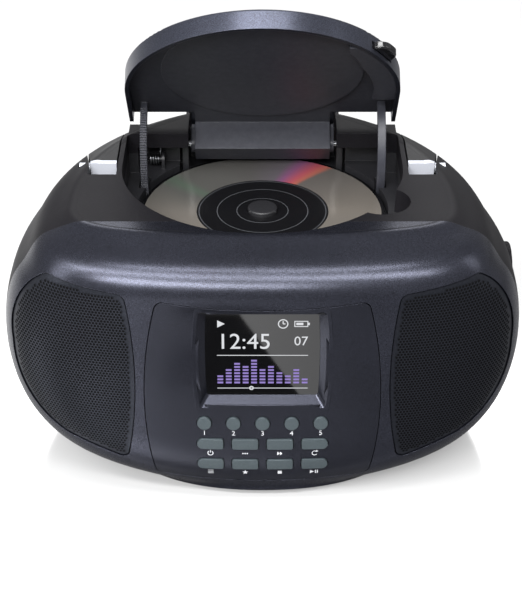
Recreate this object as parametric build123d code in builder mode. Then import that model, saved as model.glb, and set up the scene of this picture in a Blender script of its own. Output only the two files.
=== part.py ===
from build123d import *
import os
from math import acos, atan2, cos, pi, radians, sin, sqrt, tan

# A portable disc radio with its lid open. Millimetres, +Z up, the front looks along -Y.
# The origin lies on the standing surface, straight under the disc's axis.
os.makedirs("parts", exist_ok=True)

# Body form: plan outlines from the base up to the flat top,
# each as height, half width, reach to the front, reach to the rear, front fullness.
base_z = 3.0
top_z = 123.0
body_stations = [
    (base_z, 74.0, 99.5, 60.0, 0.68),
    (14.0, 99.0, 102.0, 72.0, 0.88),
    (35.0, 115.0, 101.7, 84.0, 1.0),
    (60.0, 121.5, 99.5, 92.0, 1.0),
    (82.0, 120.4, 97.5, 95.0, 1.0),
    (99.0, 114.0, 95.8, 95.0, 1.0),
    (108.0, 108.0, 94.3, 92.0, 1.0),
    (114.0, 104.2, 90.0, 87.0, 1.0),
    (118.5, 98.4, 82.0, 80.0, 1.0),
    (121.5, 92.4, 73.5, 74.0, 1.0),
    (top_z, 86.0, 66.0, 67.0, 1.0),
]
widest_y = -36.0
front_pull = 0.6
rear_fullness = 0.45
rear_pull = 0.63
wall = 2.6
seam_y = -56.0
fit_gap = 0.3

# Disc, its well and the turntable
disc_radius = 60.0
disc_thickness = 1.2
disc_hole_radius = 7.5
disc_z = 98.0
well_radius = 67.8
well_wall = 1.5
well_floor_z = 95.0
floor_thickness = 1.5
ledge_z = 101.0
recess_radius = 61.6
rim_low_z = 112.0
rim_high_z = 120.9
spring_bay_half_width = 63.0
spring_bay_rear = 50.0
bay_half_width = 42.5
bay_rear = 60.0
swing_bay_half_width = 38.0
swing_bay_rear = 67.2
cover_edge_y = 36.2
cover_lip_drop = 8.0

# Lid, modelled shut and turned about its hinge into the open pose
lid_gap = 1.0
lid_radius = well_radius - lid_gap
lid_height = 10.0
lid_skin = 2.4
lid_skirt = 2.0
lid_rear = 35.5
lid_tail_half_width = 36.5
lid_tail_rear = 59.0
lid_open_angle = 50.0
hinge_y = 51.5
hinge_z = 110.0
hinge_pin_radius = 1.5
shaft_clearance = 0.05
swing_radius = sqrt((hinge_y - lid_rear) ** 2 + (top_z - hinge_z) ** 2)
liner_thickness = 1.4
liner_disc_radius = 48.5
liner_disc_y = -13.8
liner_disc_height = 1.2

# Toothed arc of the lid and the damper pinion that it turns
tooth_module = 0.4
arc_teeth = 160
pinion_teeth = 14
pressure_angle = radians(20)
tooth_slack = 0.12
arc_depth = 4.0
arc_x = -59.1
arc_width = 3.4
guide_arm_x = 59.2
guide_arm_width = 4.0
arc_bottom = -44.0
damper_angle = -38.0
pinion_width = 3.0

# Control panel, display and buttons
panel_half_top = 47.0
panel_half_middle = 53.5
panel_half_bottom = 49.0
panel_top = 103.0
panel_sag = 3.5
panel_middle = 58.0
panel_bottom = 13.0
panel_bottom_sag = 2.6
panel_corner = 4.0
panel_gap = 0.35
display_middle = 74.5
display_half_width = 28.6
display_half_height = 24.2
display_bulge = 1.6
display_depth = 4.2
window_half_width = 25.2
window_half_height = 20.6
window_rise = 1.4
lens_thickness = 1.6
screen_thickness = 2.8
preset_count = 5
preset_pitch = 13.3
preset_z = 42.6
preset_radius = 3.2
key_columns = 4
key_pitch = 16.0
key_rows_z = (31.7, 20.7)
key_length = 12.0
key_height = 5.2
key_proud = 0.9
key_gap = 0.35
key_travel = 0.8
key_flange = 0.9
board_thickness = 1.6

# Speakers and grilles
grille_skin = 1.5
grille_sink = 0.5
grille_gap = 0.5
grille_rebate = 3.0
speaker_radius = 34.0
speaker_turn = 20.0
speaker_x = 80.0
speaker_y = -80.0
speaker_z = 63.0
speaker_depth = 26.0
magnet_radius = 19.0
magnet_height = 10.0
cone_rise = 2.2

# Carrying handle
handle_thickness = 10.0
handle_inner_x = 70.9
handle_nose_y = 3.0
handle_nose_width = 12.6
handle_flare = 9.0
handle_flare_y = 65.0
handle_bar_y = 77.5
handle_bar_radius = 119.0
handle_low_z = 101.0
handle_gap = 0.7
handle_pivot_y = 8.0
handle_pivot_z = 118.0
handle_pin_radius = 2.5
handle_pin_reach = 5.0

# Lid spring
wire_radius = 0.4
coil_radius = 2.6
coil_pitch = 1.3
coil_turns = 4
coil_y = 44.5
coil_z = 104.8
coil_start_x = -57.7

# Disc drive
shaft_radius = 1.0
platter_radius = 14.0
hub_radius = 7.3
ball_radius = 1.1
chassis_half_width = 38.0
chassis_front = -66.0
chassis_rear = 24.0
chassis_z = 90.0
chassis_thickness = 1.6
rod_x = 18.0
rod_z = 85.5
rod_radius = 1.2
sled_y = -25.0
sled_length = 16.0
lens_radius = 3.2

# Power, sockets, aerial and feet
door_half_width = 54.0
door_low = 14.0
door_high = 70.0
door_gap = 0.4
inlet_x = -72.0
inlet_z = 42.0
jack_x = 68.0
jack_z = (50.0, 34.0)
jack_radius = 4.0
jack_bore = 1.8
volume_y = -12.0
volume_z = 72.0
volume_radius = 14.0
volume_width = 7.0
volume_proud = 2.4
volume_gap = 0.5
volume_inside_x = 88.0
aerial_y = 80.0
aerial_z = 90.0
aerial_pivot_x = 54.0
foot_radius = 6.0
foot_spots = ((52.0, -68.0), (34.0, 38.0))
screw_radius = 1.5
screw_head_radius = 3.0
screw_top_z = 22.0
screw_spots = ((60.0, -30.0), (48.0, 14.0), (34.0, -78.0))


def save(piece, label):
    """Names a finished piece and writes it to its own file."""
    piece.part.label = label
    export_step(piece.part, f"parts/{label}.step")


def front_reach(height):
    """How far forward the body's middle stands at a height."""
    for lower, upper in zip(body_stations, body_stations[1:]):
        if lower[0] <= height <= upper[0]:
            share = (height - lower[0]) / (upper[0] - lower[0])
            return lower[2] + share * (upper[2] - lower[2])
    return body_stations[-1][2]


def body_form(inset):
    """The body's outside as one solid, with every face moved in by the inset."""
    squeeze = (top_z - base_z - 2 * inset) / (top_z - base_z)
    with BuildPart() as form:
        for height, half_width, front, rear, fullness in body_stations:
            level = base_z + inset + (height - base_z) * squeeze
            wide = half_width - inset
            ahead = inset - front
            behind = rear - inset
            with BuildSketch(Plane.XY.offset(level)):
                with BuildLine():
                    Bezier(
                        (0, ahead),
                        (fullness * wide, ahead),
                        (wide, widest_y + front_pull * (ahead - widest_y)),
                        (wide, widest_y),
                    )
                    Bezier(
                        (wide, widest_y),
                        (wide, widest_y + rear_pull * (behind - widest_y)),
                        (rear_fullness * wide, behind),
                        (0, behind),
                    )
                    mirror(about=Plane.YZ)
                make_face()
        loft()
    return form.part


outer_form = body_form(0)
inner_form = body_form(wall)


def well_plan(grow):
    """Plan of the well: round in front, straight sides, room for springs and hinge behind."""
    with BuildSketch() as plan:
        Circle(well_radius + grow)
        with Locations((0, -well_radius)):
            Rectangle(2 * (well_radius + grow) + 1, 2 * well_radius, mode=Mode.INTERSECT)
        for half_width, rear in (
            (well_radius, cover_edge_y),
            (spring_bay_half_width, spring_bay_rear),
            (bay_half_width, bay_rear),
            (swing_bay_half_width, swing_bay_rear),
        ):
            with Locations((0, (rear + grow) / 2)):
                Rectangle(2 * (half_width + grow), rear + grow)
    return plan.sketch


def cover_plan():
    """Plan of the hole in the top: the lid's outline and the slot for its tail."""
    with BuildSketch() as plan:
        Circle(well_radius)
        with Locations((0, -well_radius)):
            Rectangle(2 * well_radius + 1, 2 * well_radius, mode=Mode.INTERSECT)
        with Locations((0, cover_edge_y / 2)):
            Rectangle(2 * well_radius, cover_edge_y)
        with Locations((0, swing_bay_rear / 2)):
            Rectangle(2 * (lid_tail_half_width + lid_gap), swing_bay_rear)
    return plan.sketch


def lid_plan(inset):
    """Plan of the shut lid, without its tail."""
    with BuildSketch() as plan:
        Circle(lid_radius - inset)
        with Locations((0, -lid_radius)):
            Rectangle(2 * lid_radius + 1, 2 * lid_radius, mode=Mode.INTERSECT)
        with Locations((0, lid_rear / 2)):
            Rectangle(2 * (lid_radius - inset), lid_rear)
    return plan.sketch


def handle_plan(grow):
    """Plan of the handle: two flaring arms joined by a bar that follows the rear shoulder."""
    inner_x = handle_inner_x - grow
    nose = handle_nose_y - grow
    bar_radius = handle_bar_radius - grow
    bar_centre = handle_bar_y - handle_bar_radius
    join_y = bar_centre + sqrt(bar_radius ** 2 - inner_x ** 2)
    outer_x = handle_inner_x + handle_nose_width + grow
    beyond = 2 * handle_bar_y
    with BuildSketch() as plan:
        with BuildLine():
            Line((0, bar_centre + bar_radius), (0, beyond))
            Line((0, beyond), (outer_x + handle_flare + beyond, beyond))
            Line((outer_x + handle_flare + beyond, beyond), (outer_x + handle_flare, handle_flare_y))
            Line((outer_x + handle_flare, handle_flare_y), (outer_x, nose))
            Line((outer_x, nose), (inner_x, nose))
            Line((inner_x, nose), (inner_x, join_y))
            halfway = atan2(join_y - bar_centre, inner_x) / 2 + pi / 4
            ThreePointArc(
                (inner_x, join_y),
                (bar_radius * cos(halfway), bar_centre + bar_radius * sin(halfway)),
                (0, bar_centre + bar_radius),
            )
        make_face()
        mirror(about=Plane.YZ)
    return plan.sketch


def grille_plan(inset):
    """Outline of the right grille, seen from the front."""
    with BuildSketch() as plan:
        with BuildLine():
            Line((61.5, 105.0), (97.0, 108.0))
            ThreePointArc((97.0, 108.0), (112.5, 91.0), (115.5, 70.0))
            ThreePointArc((115.5, 70.0), (109.5, 46.0), (92.0, 29.0))
            Line((92.0, 29.0), (62.5, 19.5))
            ThreePointArc((62.5, 19.5), (57.5, 62.0), (61.5, 105.0))
        make_face()
        fillet(plan.vertices().filter_by(lambda corner: corner.X < 100), radius=panel_corner)
        offset(amount=-inset) if inset else None
    return plan.sketch


def panel_plan(inset):
    """Outline of the control panel, seen from the front."""
    top = panel_top - inset
    bottom = panel_bottom + inset
    half_top = panel_half_top - inset
    half_middle = panel_half_middle - inset
    half_bottom = panel_half_bottom - inset
    with BuildSketch() as plan:
        with BuildLine():
            ThreePointArc((-half_top, top), (0, top - panel_sag), (half_top, top))
            ThreePointArc((half_top, top), (half_middle, panel_middle), (half_bottom, bottom))
            ThreePointArc((half_bottom, bottom), (0, bottom - panel_bottom_sag), (-half_bottom, bottom))
            ThreePointArc((-half_bottom, bottom), (-half_middle, panel_middle), (-half_top, top))
        make_face()
        fillet(plan.vertices(), radius=panel_corner)
    return plan.sketch


def block(low, high):
    """A box between two opposite corners."""
    size = [b - a for a, b in zip(low, high)]
    with BuildPart(Location(low)) as box:
        Box(*size, align=(Align.MIN, Align.MIN, Align.MIN))
    return box.part


def rod(start, end, radius):
    """A round bar between two points."""
    axis = Vector(*end) - Vector(*start)
    with BuildPart(Plane(origin=start, z_dir=axis)) as bar:
        Cylinder(radius, axis.length, align=(Align.CENTER, Align.CENTER, Align.MIN))
    return bar.part


def column(plan, low, high):
    """A plan carried straight up between two heights."""
    with BuildPart() as prism:
        with BuildSketch(Plane.XY.offset(low)):
            add(plan)
        extrude(amount=high - low)
    return prism.part


def forward(outline, back, front):
    """An outline seen from the front, carried from one depth forward to another."""
    with BuildPart() as prism:
        with BuildSketch(Plane.XZ.offset(-back)):
            add(outline)
        extrude(amount=back - front)
    return prism.part


def sideways(outline, left, right):
    """An outline in the side view, carried from left to right."""
    with BuildPart() as prism:
        with BuildSketch(Plane.YZ.offset(left)):
            add(outline)
        extrude(amount=right - left)
    return prism.part


def hinge_disc(radius):
    """Side view of a disc about the lid's hinge."""
    with BuildSketch() as disc:
        with Locations((hinge_y, hinge_z)):
            Circle(radius)
    return disc.sketch


def tooth(pitch_radius, teeth):
    """One gear tooth along +X with involute flanks, each flank an arc through three of its points."""
    base_radius = pitch_radius * cos(pressure_angle)
    tip = pitch_radius + tooth_module
    root = pitch_radius - 1.25 * tooth_module
    low = max(root, base_radius)
    middle = (low + tip) / 2
    spread = pi / (2 * teeth) - tooth_slack / (4 * pitch_radius) + tan(pressure_angle) - pressure_angle
    flank = []
    for radius in (low, middle, tip):
        roll = acos(base_radius / radius)
        half = spread - tan(roll) + roll
        flank.append((radius * cos(half), radius * sin(half)))
    foot = (root - 0.2, flank[0][1])
    with BuildSketch() as shape:
        with BuildLine():
            Line((foot[0], -foot[1]), foot)
            Line(foot, flank[0])
            ThreePointArc(*flank)
            Line(flank[2], (flank[2][0], -flank[2][1]))
            ThreePointArc(*((x, -y) for x, y in reversed(flank)))
            Line((flank[0][0], -flank[0][1]), (foot[0], -foot[1]))
        make_face()
    return shape.sketch


def opened(shape):
    """Turns a piece of the shut lid into the open pose."""
    return shape.rotate(Axis((0, hinge_y, hinge_z), (1, 0, 0)), -lid_open_angle)


def key_outline(centre_x, centre_z, outer_side, grow):
    """A function key seen from the front; the keys at the row's ends are rounded there."""
    with BuildSketch() as outline:
        with Locations((centre_x, centre_z)):
            RectangleRounded(key_length + 2 * grow, key_height + 2 * grow, 1.0 + grow)
        if outer_side:
            reach = key_length / 2 - key_height / 2
            with Locations((centre_x - outer_side * reach / 2, centre_z)):
                Rectangle(key_length - reach, key_height + 2 * grow + 1, mode=Mode.INTERSECT)
            with Locations((centre_x - outer_side * key_height / 4, centre_z)):
                RectangleRounded(key_length - key_height / 2 + 2 * grow, key_height + 2 * grow, 1.0 + grow)
            with Locations((centre_x + outer_side * reach, centre_z)):
                Circle(key_height / 2 + grow)
    return outline.sketch


def display_outline(half_width, half_height, bulge, rise):
    """A display opening with bowed sides."""
    with BuildSketch() as outline:
        with BuildLine():
            Line((-half_width, rise + half_height), (half_width, rise + half_height))
            ThreePointArc(
                (half_width, rise + half_height),
                (half_width + bulge, rise),
                (half_width, rise - half_height),
            )
            Line((half_width, rise - half_height), (-half_width, rise - half_height))
            ThreePointArc(
                (-half_width, rise - half_height),
                (-half_width - bulge, rise),
                (-half_width, rise + half_height),
            )
        make_face()
        fillet(outline.vertices(), radius=1.5)
    return outline.sketch


far = 150.0
ahead_of_seam = block((-far, -far, 0), (far, seam_y, far))
behind_seam = block((-far, seam_y, 0), (far, far, far))
recess_form = body_form(handle_thickness + handle_gap)
recess_back_form = body_form(handle_thickness + handle_gap + wall)
rest_form = body_form(handle_thickness)
proud_form = body_form(-key_proud)
flange_form = body_form(wall + fit_gap)
grille_form = body_form(grille_sink)
grille_back_form = body_form(grille_sink + grille_skin)

# Thumb dip beside the lid, and the direction of the release tab above it
latch_turn = -33.0
dip_radius = 14.0
dip_low_radius = 11.0
dip_low_z = 106.0
dip_centre = (66.0 * cos(radians(latch_turn)), 66.0 * sin(radians(latch_turn)))


def dip(grow):
    """The thumb dip as a solid, wider at the top."""
    with BuildPart(Location((dip_centre[0], dip_centre[1], dip_low_z - grow))) as hollow:
        Cone(
            dip_low_radius + grow,
            dip_radius + grow,
            top_z + 3 - dip_low_z + grow,
            align=(Align.CENTER, Align.CENTER, Align.MIN),
        )
    return hollow.part


# Lid, shut
swing_core = sideways(hinge_disc(swing_radius), -far, far)
lid_under_z = top_z - lid_skin
liner_low_z = lid_under_z - liner_thickness
tab_low_z = top_z - 7.6
tab_high_z = liner_low_z - fit_gap
tab_half_width = 7.5
tab_reach = 72.0
tab_root = 58.0
tab_travel = 1.2
lid_swing_radius = sqrt((lid_tail_rear - hinge_y) ** 2 + (top_z - hinge_z) ** 2)
curtain_thickness = 1.8


def tab_plan(grow):
    """Plan of the release tab, its rounded end past the lid's rim."""
    with BuildSketch() as plan:
        with Locations(Rotation(0, 0, latch_turn)):
            with Locations(((tab_root + tab_reach) / 2, 0)):
                RectangleRounded(
                    tab_reach - tab_root + 2 * grow,
                    2 * (tab_half_width + grow),
                    5.5,
                )
    return plan.sketch


with BuildPart() as shut_lid:
    add(column(lid_plan(0), top_z - lid_height, top_z))
    rim = shut_lid.edges().group_by(Axis.Z)[-1].filter_by(lambda edge: edge.center().Y < lid_rear - 1)
    fillet(rim, radius=1.0)
    add(column(lid_plan(lid_skirt), top_z - lid_height - 1, lid_under_z), mode=Mode.SUBTRACT)
    add(swing_core, mode=Mode.SUBTRACT)
    with BuildSketch(Plane.XY.offset(lid_under_z)):
        with Locations((0, (lid_rear + lid_tail_rear - 4) / 2)):
            Rectangle(2 * lid_tail_half_width, lid_tail_rear - lid_rear + 4)
    extrude(amount=lid_skin)
    with BuildSketch(Plane.YZ.offset(-lid_tail_half_width)):
        add(hinge_disc(lid_swing_radius))
        add(hinge_disc(lid_swing_radius - curtain_thickness), mode=Mode.SUBTRACT)
        with Locations((hinge_y + far / 2, hinge_z + far / 2)):
            Rectangle(far, far, mode=Mode.INTERSECT)
        with Locations((hinge_y + far / 2, hinge_z + 3 + far / 2)):
            Rectangle(far, far, mode=Mode.INTERSECT)
        with Locations((lid_tail_rear - 0.5 + far / 2, hinge_z + far / 2)):
            Rectangle(far, far, mode=Mode.INTERSECT)
    extrude(amount=2 * lid_tail_half_width)
    add(column(tab_plan(tab_travel + fit_gap), tab_low_z - fit_gap, liner_low_z), mode=Mode.SUBTRACT)

# Lid's inner part: plate, raised disc, hinge bracket, toothed arm and guide arm
arc_radius = tooth_module * arc_teeth / 2
pinion_radius = tooth_module * pinion_teeth / 2
arc_inner = arc_radius - arc_depth
arc_root = arc_radius - 1.25 * tooth_module
tooth_step = 360 / arc_teeth
mesh_angle = 180 - damper_angle + lid_open_angle
bracket_front = 44.5
bracket_rear = 57.5
bracket_low_z = 104.0
bracket_half_width = lid_tail_half_width - 2.0
ear_radius = 4.2
cut_teeth = 46
teeth_past_mesh = 43


def arm_outline(outer):
    """Side view of a lid arm: a ring about the hinge from its lower end up to the lid's plate."""
    with BuildSketch() as outline:
        add(hinge_disc(outer))
        add(hinge_disc(arc_inner), mode=Mode.SUBTRACT)
        with Locations((hinge_y + 10 - far / 2, liner_low_z + 0.4 - far / 2)):
            Rectangle(far, far, mode=Mode.INTERSECT)
        lower = radians(180 - arc_bottom + lid_open_angle)
        with BuildLine():
            Line((hinge_y, hinge_z), (hinge_y, hinge_z + 60))
            Line((hinge_y, hinge_z + 60), (hinge_y - 90, hinge_z + 60))
            Line((hinge_y - 90, hinge_z + 60), (hinge_y - 90, hinge_z - 90))
            Line((hinge_y - 90, hinge_z - 90), (hinge_y + 90 * cos(lower), hinge_z + 90 * sin(lower)))
            Line((hinge_y + 90 * cos(lower), hinge_z + 90 * sin(lower)), (hinge_y, hinge_z))
        make_face(mode=Mode.INTERSECT)
    return outline.sketch


with BuildPart() as shut_liner:
    add(column(lid_plan(lid_skirt), liner_low_z, lid_under_z))
    add(swing_core, mode=Mode.SUBTRACT)
    with BuildSketch(Plane.XY.offset(liner_low_z)):
        with Locations((0, (lid_rear + bracket_rear) / 2 - 4)):
            Rectangle(2 * bracket_half_width, bracket_rear - lid_rear + 8)
    extrude(amount=liner_thickness)
    with BuildSketch(Plane.XY.offset(liner_low_z - liner_disc_height)):
        with Locations((0, liner_disc_y)):
            Circle(liner_disc_radius)
    extrude(amount=liner_disc_height)
    add(
        block(
            (-bracket_half_width, bracket_front, bracket_low_z),
            (bracket_half_width, bracket_rear, liner_low_z),
        )
    )
    add(
        block(
            (2 - bracket_half_width, bracket_front + 2, bracket_low_z + 1.6),
            (bracket_half_width - 2, bracket_rear + 1, liner_low_z),
        ),
        mode=Mode.SUBTRACT,
    )
    for rib_x in (-22, 22):
        add(block((rib_x - 0.7, bracket_front, bracket_low_z), (rib_x + 0.7, bracket_rear, liner_low_z)))
    for side in (-1, 1):
        ear_x = sorted((side * bracket_half_width, side * lid_tail_half_width))
        with BuildSketch(Plane.YZ.offset(ear_x[0])):
            with Locations((hinge_y, hinge_z)):
                Circle(ear_radius)
            with Locations((hinge_y, (hinge_z + liner_low_z) / 2)):
                Rectangle(2 * ear_radius, liner_low_z - hinge_z)
            with Locations((hinge_y, hinge_z)):
                Circle(hinge_pin_radius, mode=Mode.SUBTRACT)
        extrude(amount=ear_x[1] - ear_x[0])
    with BuildSketch(Plane.YZ.offset(-bracket_half_width)):
        with Locations((hinge_y, hinge_z)):
            Circle(hinge_pin_radius)
    extrude(amount=2 * bracket_half_width, mode=Mode.SUBTRACT)
    add(sideways(arm_outline(arc_root), arc_x - arc_width / 2, arc_x + arc_width / 2))
    with BuildSketch(Plane.YZ.offset(arc_x - arc_width / 2)):
        with Locations((hinge_y, hinge_z)):
            first_tooth = mesh_angle - teeth_past_mesh * tooth_step
            with PolarLocations(0, cut_teeth, start_angle=first_tooth, angular_range=cut_teeth * tooth_step):
                add(tooth(arc_radius, arc_teeth))
    extrude(amount=arc_width)
    add(
        sideways(
            arm_outline(arc_radius + tooth_module),
            guide_arm_x - guide_arm_width / 2,
            guide_arm_x + guide_arm_width / 2,
        )
    )

with BuildPart() as lid_shell:
    add(opened(shut_lid.part))
save(lid_shell, "lid_shell")

with BuildPart() as lid_liner:
    add(opened(shut_liner.part))
save(lid_liner, "lid_liner")

with BuildPart() as shut_cover:
    with BuildSketch(Plane.XY.offset(tab_low_z - fit_gap - 1.6)):
        add(lid_plan(lid_skirt))
        Circle(54.0, mode=Mode.SUBTRACT)
        with Locations((0, liner_disc_y)):
            Circle(liner_disc_radius + 0.5, mode=Mode.SUBTRACT)
        with Locations((80, -20)):
            Rectangle(80, 54, mode=Mode.INTERSECT)
    extrude(amount=1.6)
    with BuildSketch(Plane.XY.offset(tab_low_z - fit_gap)):
        with Locations(Rotation(0, 0, latch_turn)):
            for side in (-1, 1):
                with Locations((60.4, side * (tab_half_width + tab_travel + 1.0))):
                    Rectangle(6.0, 1.2)
    extrude(amount=liner_low_z - tab_low_z + fit_gap)

with BuildPart() as latch_cover:
    add(opened(shut_cover.part))
save(latch_cover, "latch_cover")

with BuildPart() as shut_tab:
    add(column(tab_plan(0), tab_low_z, tab_high_z))
    fillet(shut_tab.edges().filter_by(Plane.XY).group_by(Axis.Z)[0], radius=1.2)

with BuildPart() as latch_button:
    add(opened(shut_tab.part))
save(latch_button, "latch_button")

post_x = 38.0
post_width = 3.0
with BuildPart() as hinge_pins:
    for side in (-1, 1):
        start = (side * (bracket_half_width - 2), hinge_y, hinge_z)
        end = (side * (post_x + post_width), hinge_y, hinge_z)
        add(rod(start, end, hinge_pin_radius))
save(hinge_pins, "hinge_pins")

# Well of the disc with the hinge posts and the slots for the arms
slot_front = 19.5
slot_rear = 30.5
cover_lip = sideways(hinge_disc(swing_radius - fit_gap - 0.3), -far, far)
lip_zone = block((-well_radius, 20, top_z - cover_lip_drop), (well_radius, hinge_y, rim_high_z))
lip_slot = block((-lid_tail_half_width - lid_gap, 0, 0), (lid_tail_half_width + lid_gap, far, far))


def bay_plan(grow):
    """Plan of the room that the hinge, its tail and the spring need behind the disc."""
    with BuildSketch() as plan:
        with Locations((0, (bay_rear + grow) / 2)):
            Rectangle(2 * (bay_half_width + grow), bay_rear + grow)
        with Locations((0, (swing_bay_rear + grow) / 2)):
            Rectangle(2 * (swing_bay_half_width + grow), swing_bay_rear + grow)
    return plan.sketch


with BuildPart() as lip:
    add(cover_lip)
    add(lip_zone, mode=Mode.INTERSECT)
    add(lip_slot, mode=Mode.SUBTRACT)

with BuildPart() as cd_well:
    add(column(well_plan(well_wall), well_floor_z - floor_thickness, rim_low_z))
    add(column(well_plan(0), ledge_z, top_z), mode=Mode.SUBTRACT)
    with BuildSketch(Plane.XY.offset(well_floor_z)):
        Circle(recess_radius)
        add(bay_plan(0))
    extrude(amount=top_z, mode=Mode.SUBTRACT)
    with BuildSketch(Plane.XY.offset(well_floor_z - floor_thickness)):
        Circle(platter_radius + 1.5)
        with Locations((0, -29)):
            RectangleRounded(20, 56, 4)
        for side in (-1, 1):
            with Locations((side * 59.2, (slot_front + slot_rear) / 2)):
                Rectangle(5.4, slot_rear - slot_front)
    extrude(amount=20, mode=Mode.SUBTRACT)
    for side in (-1, 1):
        with BuildSketch(Plane.YZ.offset(side * (post_x + post_width / 2))):
            with Locations((hinge_y, hinge_z)):
                Circle(4.0)
            with Locations((hinge_y, (hinge_z + well_floor_z) / 2 - 0.5)):
                Rectangle(8.0, hinge_z - well_floor_z + 1)
        extrude(amount=post_width / 2, both=True)
        with BuildSketch(Plane.YZ.offset(side * (post_x + post_width / 2))):
            with Locations((hinge_y, hinge_z)):
                Circle(hinge_pin_radius + shaft_clearance)
        extrude(amount=post_width, both=True, mode=Mode.SUBTRACT)
    add(dip(0), mode=Mode.SUBTRACT)
    add(rod((-51.5, coil_y, coil_z), (-50.0, coil_y, coil_z), 4.0))
    add(rod((coil_start_x, coil_y, coil_z), (-50.0, coil_y, coil_z), 1.6))
    add(block((-51.5, coil_y - 4.0, ledge_z - 0.5), (-50.0, coil_y + 4.0, coil_z)))
save(cd_well, "cd_well")

# Shells
with BuildPart() as rim_wall:
    add(column(well_plan(well_wall), rim_low_z, rim_high_z))
    add(column(well_plan(0), rim_low_z, rim_high_z), mode=Mode.SUBTRACT)

speaker_plane = Plane(
    origin=(speaker_x, speaker_y, speaker_z),
    x_dir=(cos(radians(speaker_turn)), sin(radians(speaker_turn)), 0),
    z_dir=(sin(radians(speaker_turn)), -cos(radians(speaker_turn)), 0),
)
baffle_depth = grille_sink + grille_skin + 0.4
baffle_form = body_form(baffle_depth)
baffle_back_form = body_form(baffle_depth + 2.2)
skin_form = body_form(wall / 2)
sound_radius = speaker_radius - 3.0

with BuildPart() as grille_recess:
    add(forward(grille_plan(0), seam_y - 1, -far))
    add(baffle_form, mode=Mode.SUBTRACT)

with BuildPart() as baffle:
    add(forward(grille_plan(-2.0), seam_y - 1, -far))
    add(skin_form, mode=Mode.INTERSECT)
    add(baffle_back_form, mode=Mode.SUBTRACT)

with BuildPart() as speaker_ring:
    with BuildSketch(speaker_plane):
        Circle(speaker_radius)
    extrude(amount=40)
    add(body_form(baffle_depth + 1.1), mode=Mode.INTERSECT)

with BuildPart() as sound_hole:
    with BuildSketch(speaker_plane.offset(-1)):
        Circle(sound_radius)
    extrude(amount=60)
    add(forward(grille_plan(grille_rebate), 0, -far), mode=Mode.INTERSECT)

with BuildPart() as cone_room:
    with BuildSketch(speaker_plane.offset(-1)):
        Circle(sound_radius)
    extrude(amount=1 + cone_rise)


def screw_pillar(spot_x, spot_y):
    """The boss of a housing screw."""
    return rod((spot_x, spot_y, base_z + 1), (spot_x, spot_y, screw_top_z + 2), screw_head_radius + 1.6)


def screw_bore(spot_x, spot_y):
    """The bore of a housing screw with the seat of its head."""
    with BuildPart() as bore:
        add(rod((spot_x, spot_y, 0), (spot_x, spot_y, 8.0), screw_head_radius + 0.3))
        add(rod((spot_x, spot_y, 7.0), (spot_x, spot_y, screw_top_z + 0.5), screw_radius))
    return bore.part


with BuildPart() as front_shell:
    add(outer_form)
    add(inner_form, mode=Mode.SUBTRACT)
    add(rim_wall.part)
    add(behind_seam, mode=Mode.SUBTRACT)
    add(column(cover_plan(), ledge_z, far), mode=Mode.SUBTRACT)
    for side in (-1, 1):
        for piece, mode in (
            (baffle.part, Mode.ADD),
            (speaker_ring.part, Mode.ADD),
            (grille_recess.part, Mode.SUBTRACT),
            (sound_hole.part, Mode.SUBTRACT),
            (cone_room.part, Mode.SUBTRACT),
        ):
            add(piece if side > 0 else piece.mirror(Plane.YZ), mode=mode)
        add(screw_pillar(side * screw_spots[2][0], screw_spots[2][1]))
        add(screw_bore(side * screw_spots[2][0], screw_spots[2][1]), mode=Mode.SUBTRACT)
    add(forward(panel_plan(-panel_gap), seam_y - 20, -far), mode=Mode.SUBTRACT)
save(front_shell, "front_shell")

with BuildSketch() as door_shape:
    with Locations((0, (door_low + door_high) / 2)):
        RectangleRounded(2 * door_half_width, door_high - door_low, 5)
with BuildSketch() as door_hole:
    with Locations((0, (door_low + door_high) / 2)):
        RectangleRounded(2 * (door_half_width + door_gap), door_high - door_low + 2 * door_gap, 5.4)
with BuildSketch() as bay_shape:
    with Locations((0, (door_low + door_high) / 2)):
        RectangleRounded(2 * door_half_width - 4, door_high - door_low - 4, 4)
with BuildSketch() as bay_shell_shape:
    with Locations((0, (door_low + door_high) / 2)):
        RectangleRounded(2 * door_half_width, door_high - door_low, 5)

nose_wedge_front = -9.0
nose_sweep = 8.0
handle_space_z = handle_low_z - handle_gap


def handle_space(grow, form):
    """The room of the folded handle: its channel, the ramp before each nose and the nose's sweep."""
    with BuildPart() as space:
        add(column(handle_plan(handle_gap + grow), handle_space_z - grow, top_z + 5))
        add(form, mode=Mode.SUBTRACT)
        for side in (-1, 1):
            near = handle_inner_x - handle_gap - grow
            away = handle_inner_x + handle_nose_width + handle_gap + grow
            left, right = sorted((side * near, side * away))
            with BuildSketch(Plane.YZ.offset(left)):
                with BuildLine():
                    Line((nose_wedge_front - grow, top_z + 5), (handle_pivot_y, top_z + 5))
                    Line((handle_pivot_y, top_z + 5), (handle_pivot_y, handle_pivot_z - nose_sweep - grow))
                    Line(
                        (handle_pivot_y, handle_pivot_z - nose_sweep - grow),
                        (handle_nose_y - grow, handle_pivot_z - nose_sweep - grow + 1.5),
                    )
                    Line(
                        (handle_nose_y - grow, handle_pivot_z - nose_sweep - grow + 1.5),
                        (nose_wedge_front - grow, top_z - grow),
                    )
                    Line((nose_wedge_front - grow, top_z - grow), (nose_wedge_front - grow, top_z + 5))
                make_face()
                with Locations((handle_pivot_y, handle_pivot_z)):
                    Circle(nose_sweep + grow)
            extrude(amount=right - left)
    return space.part


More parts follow.
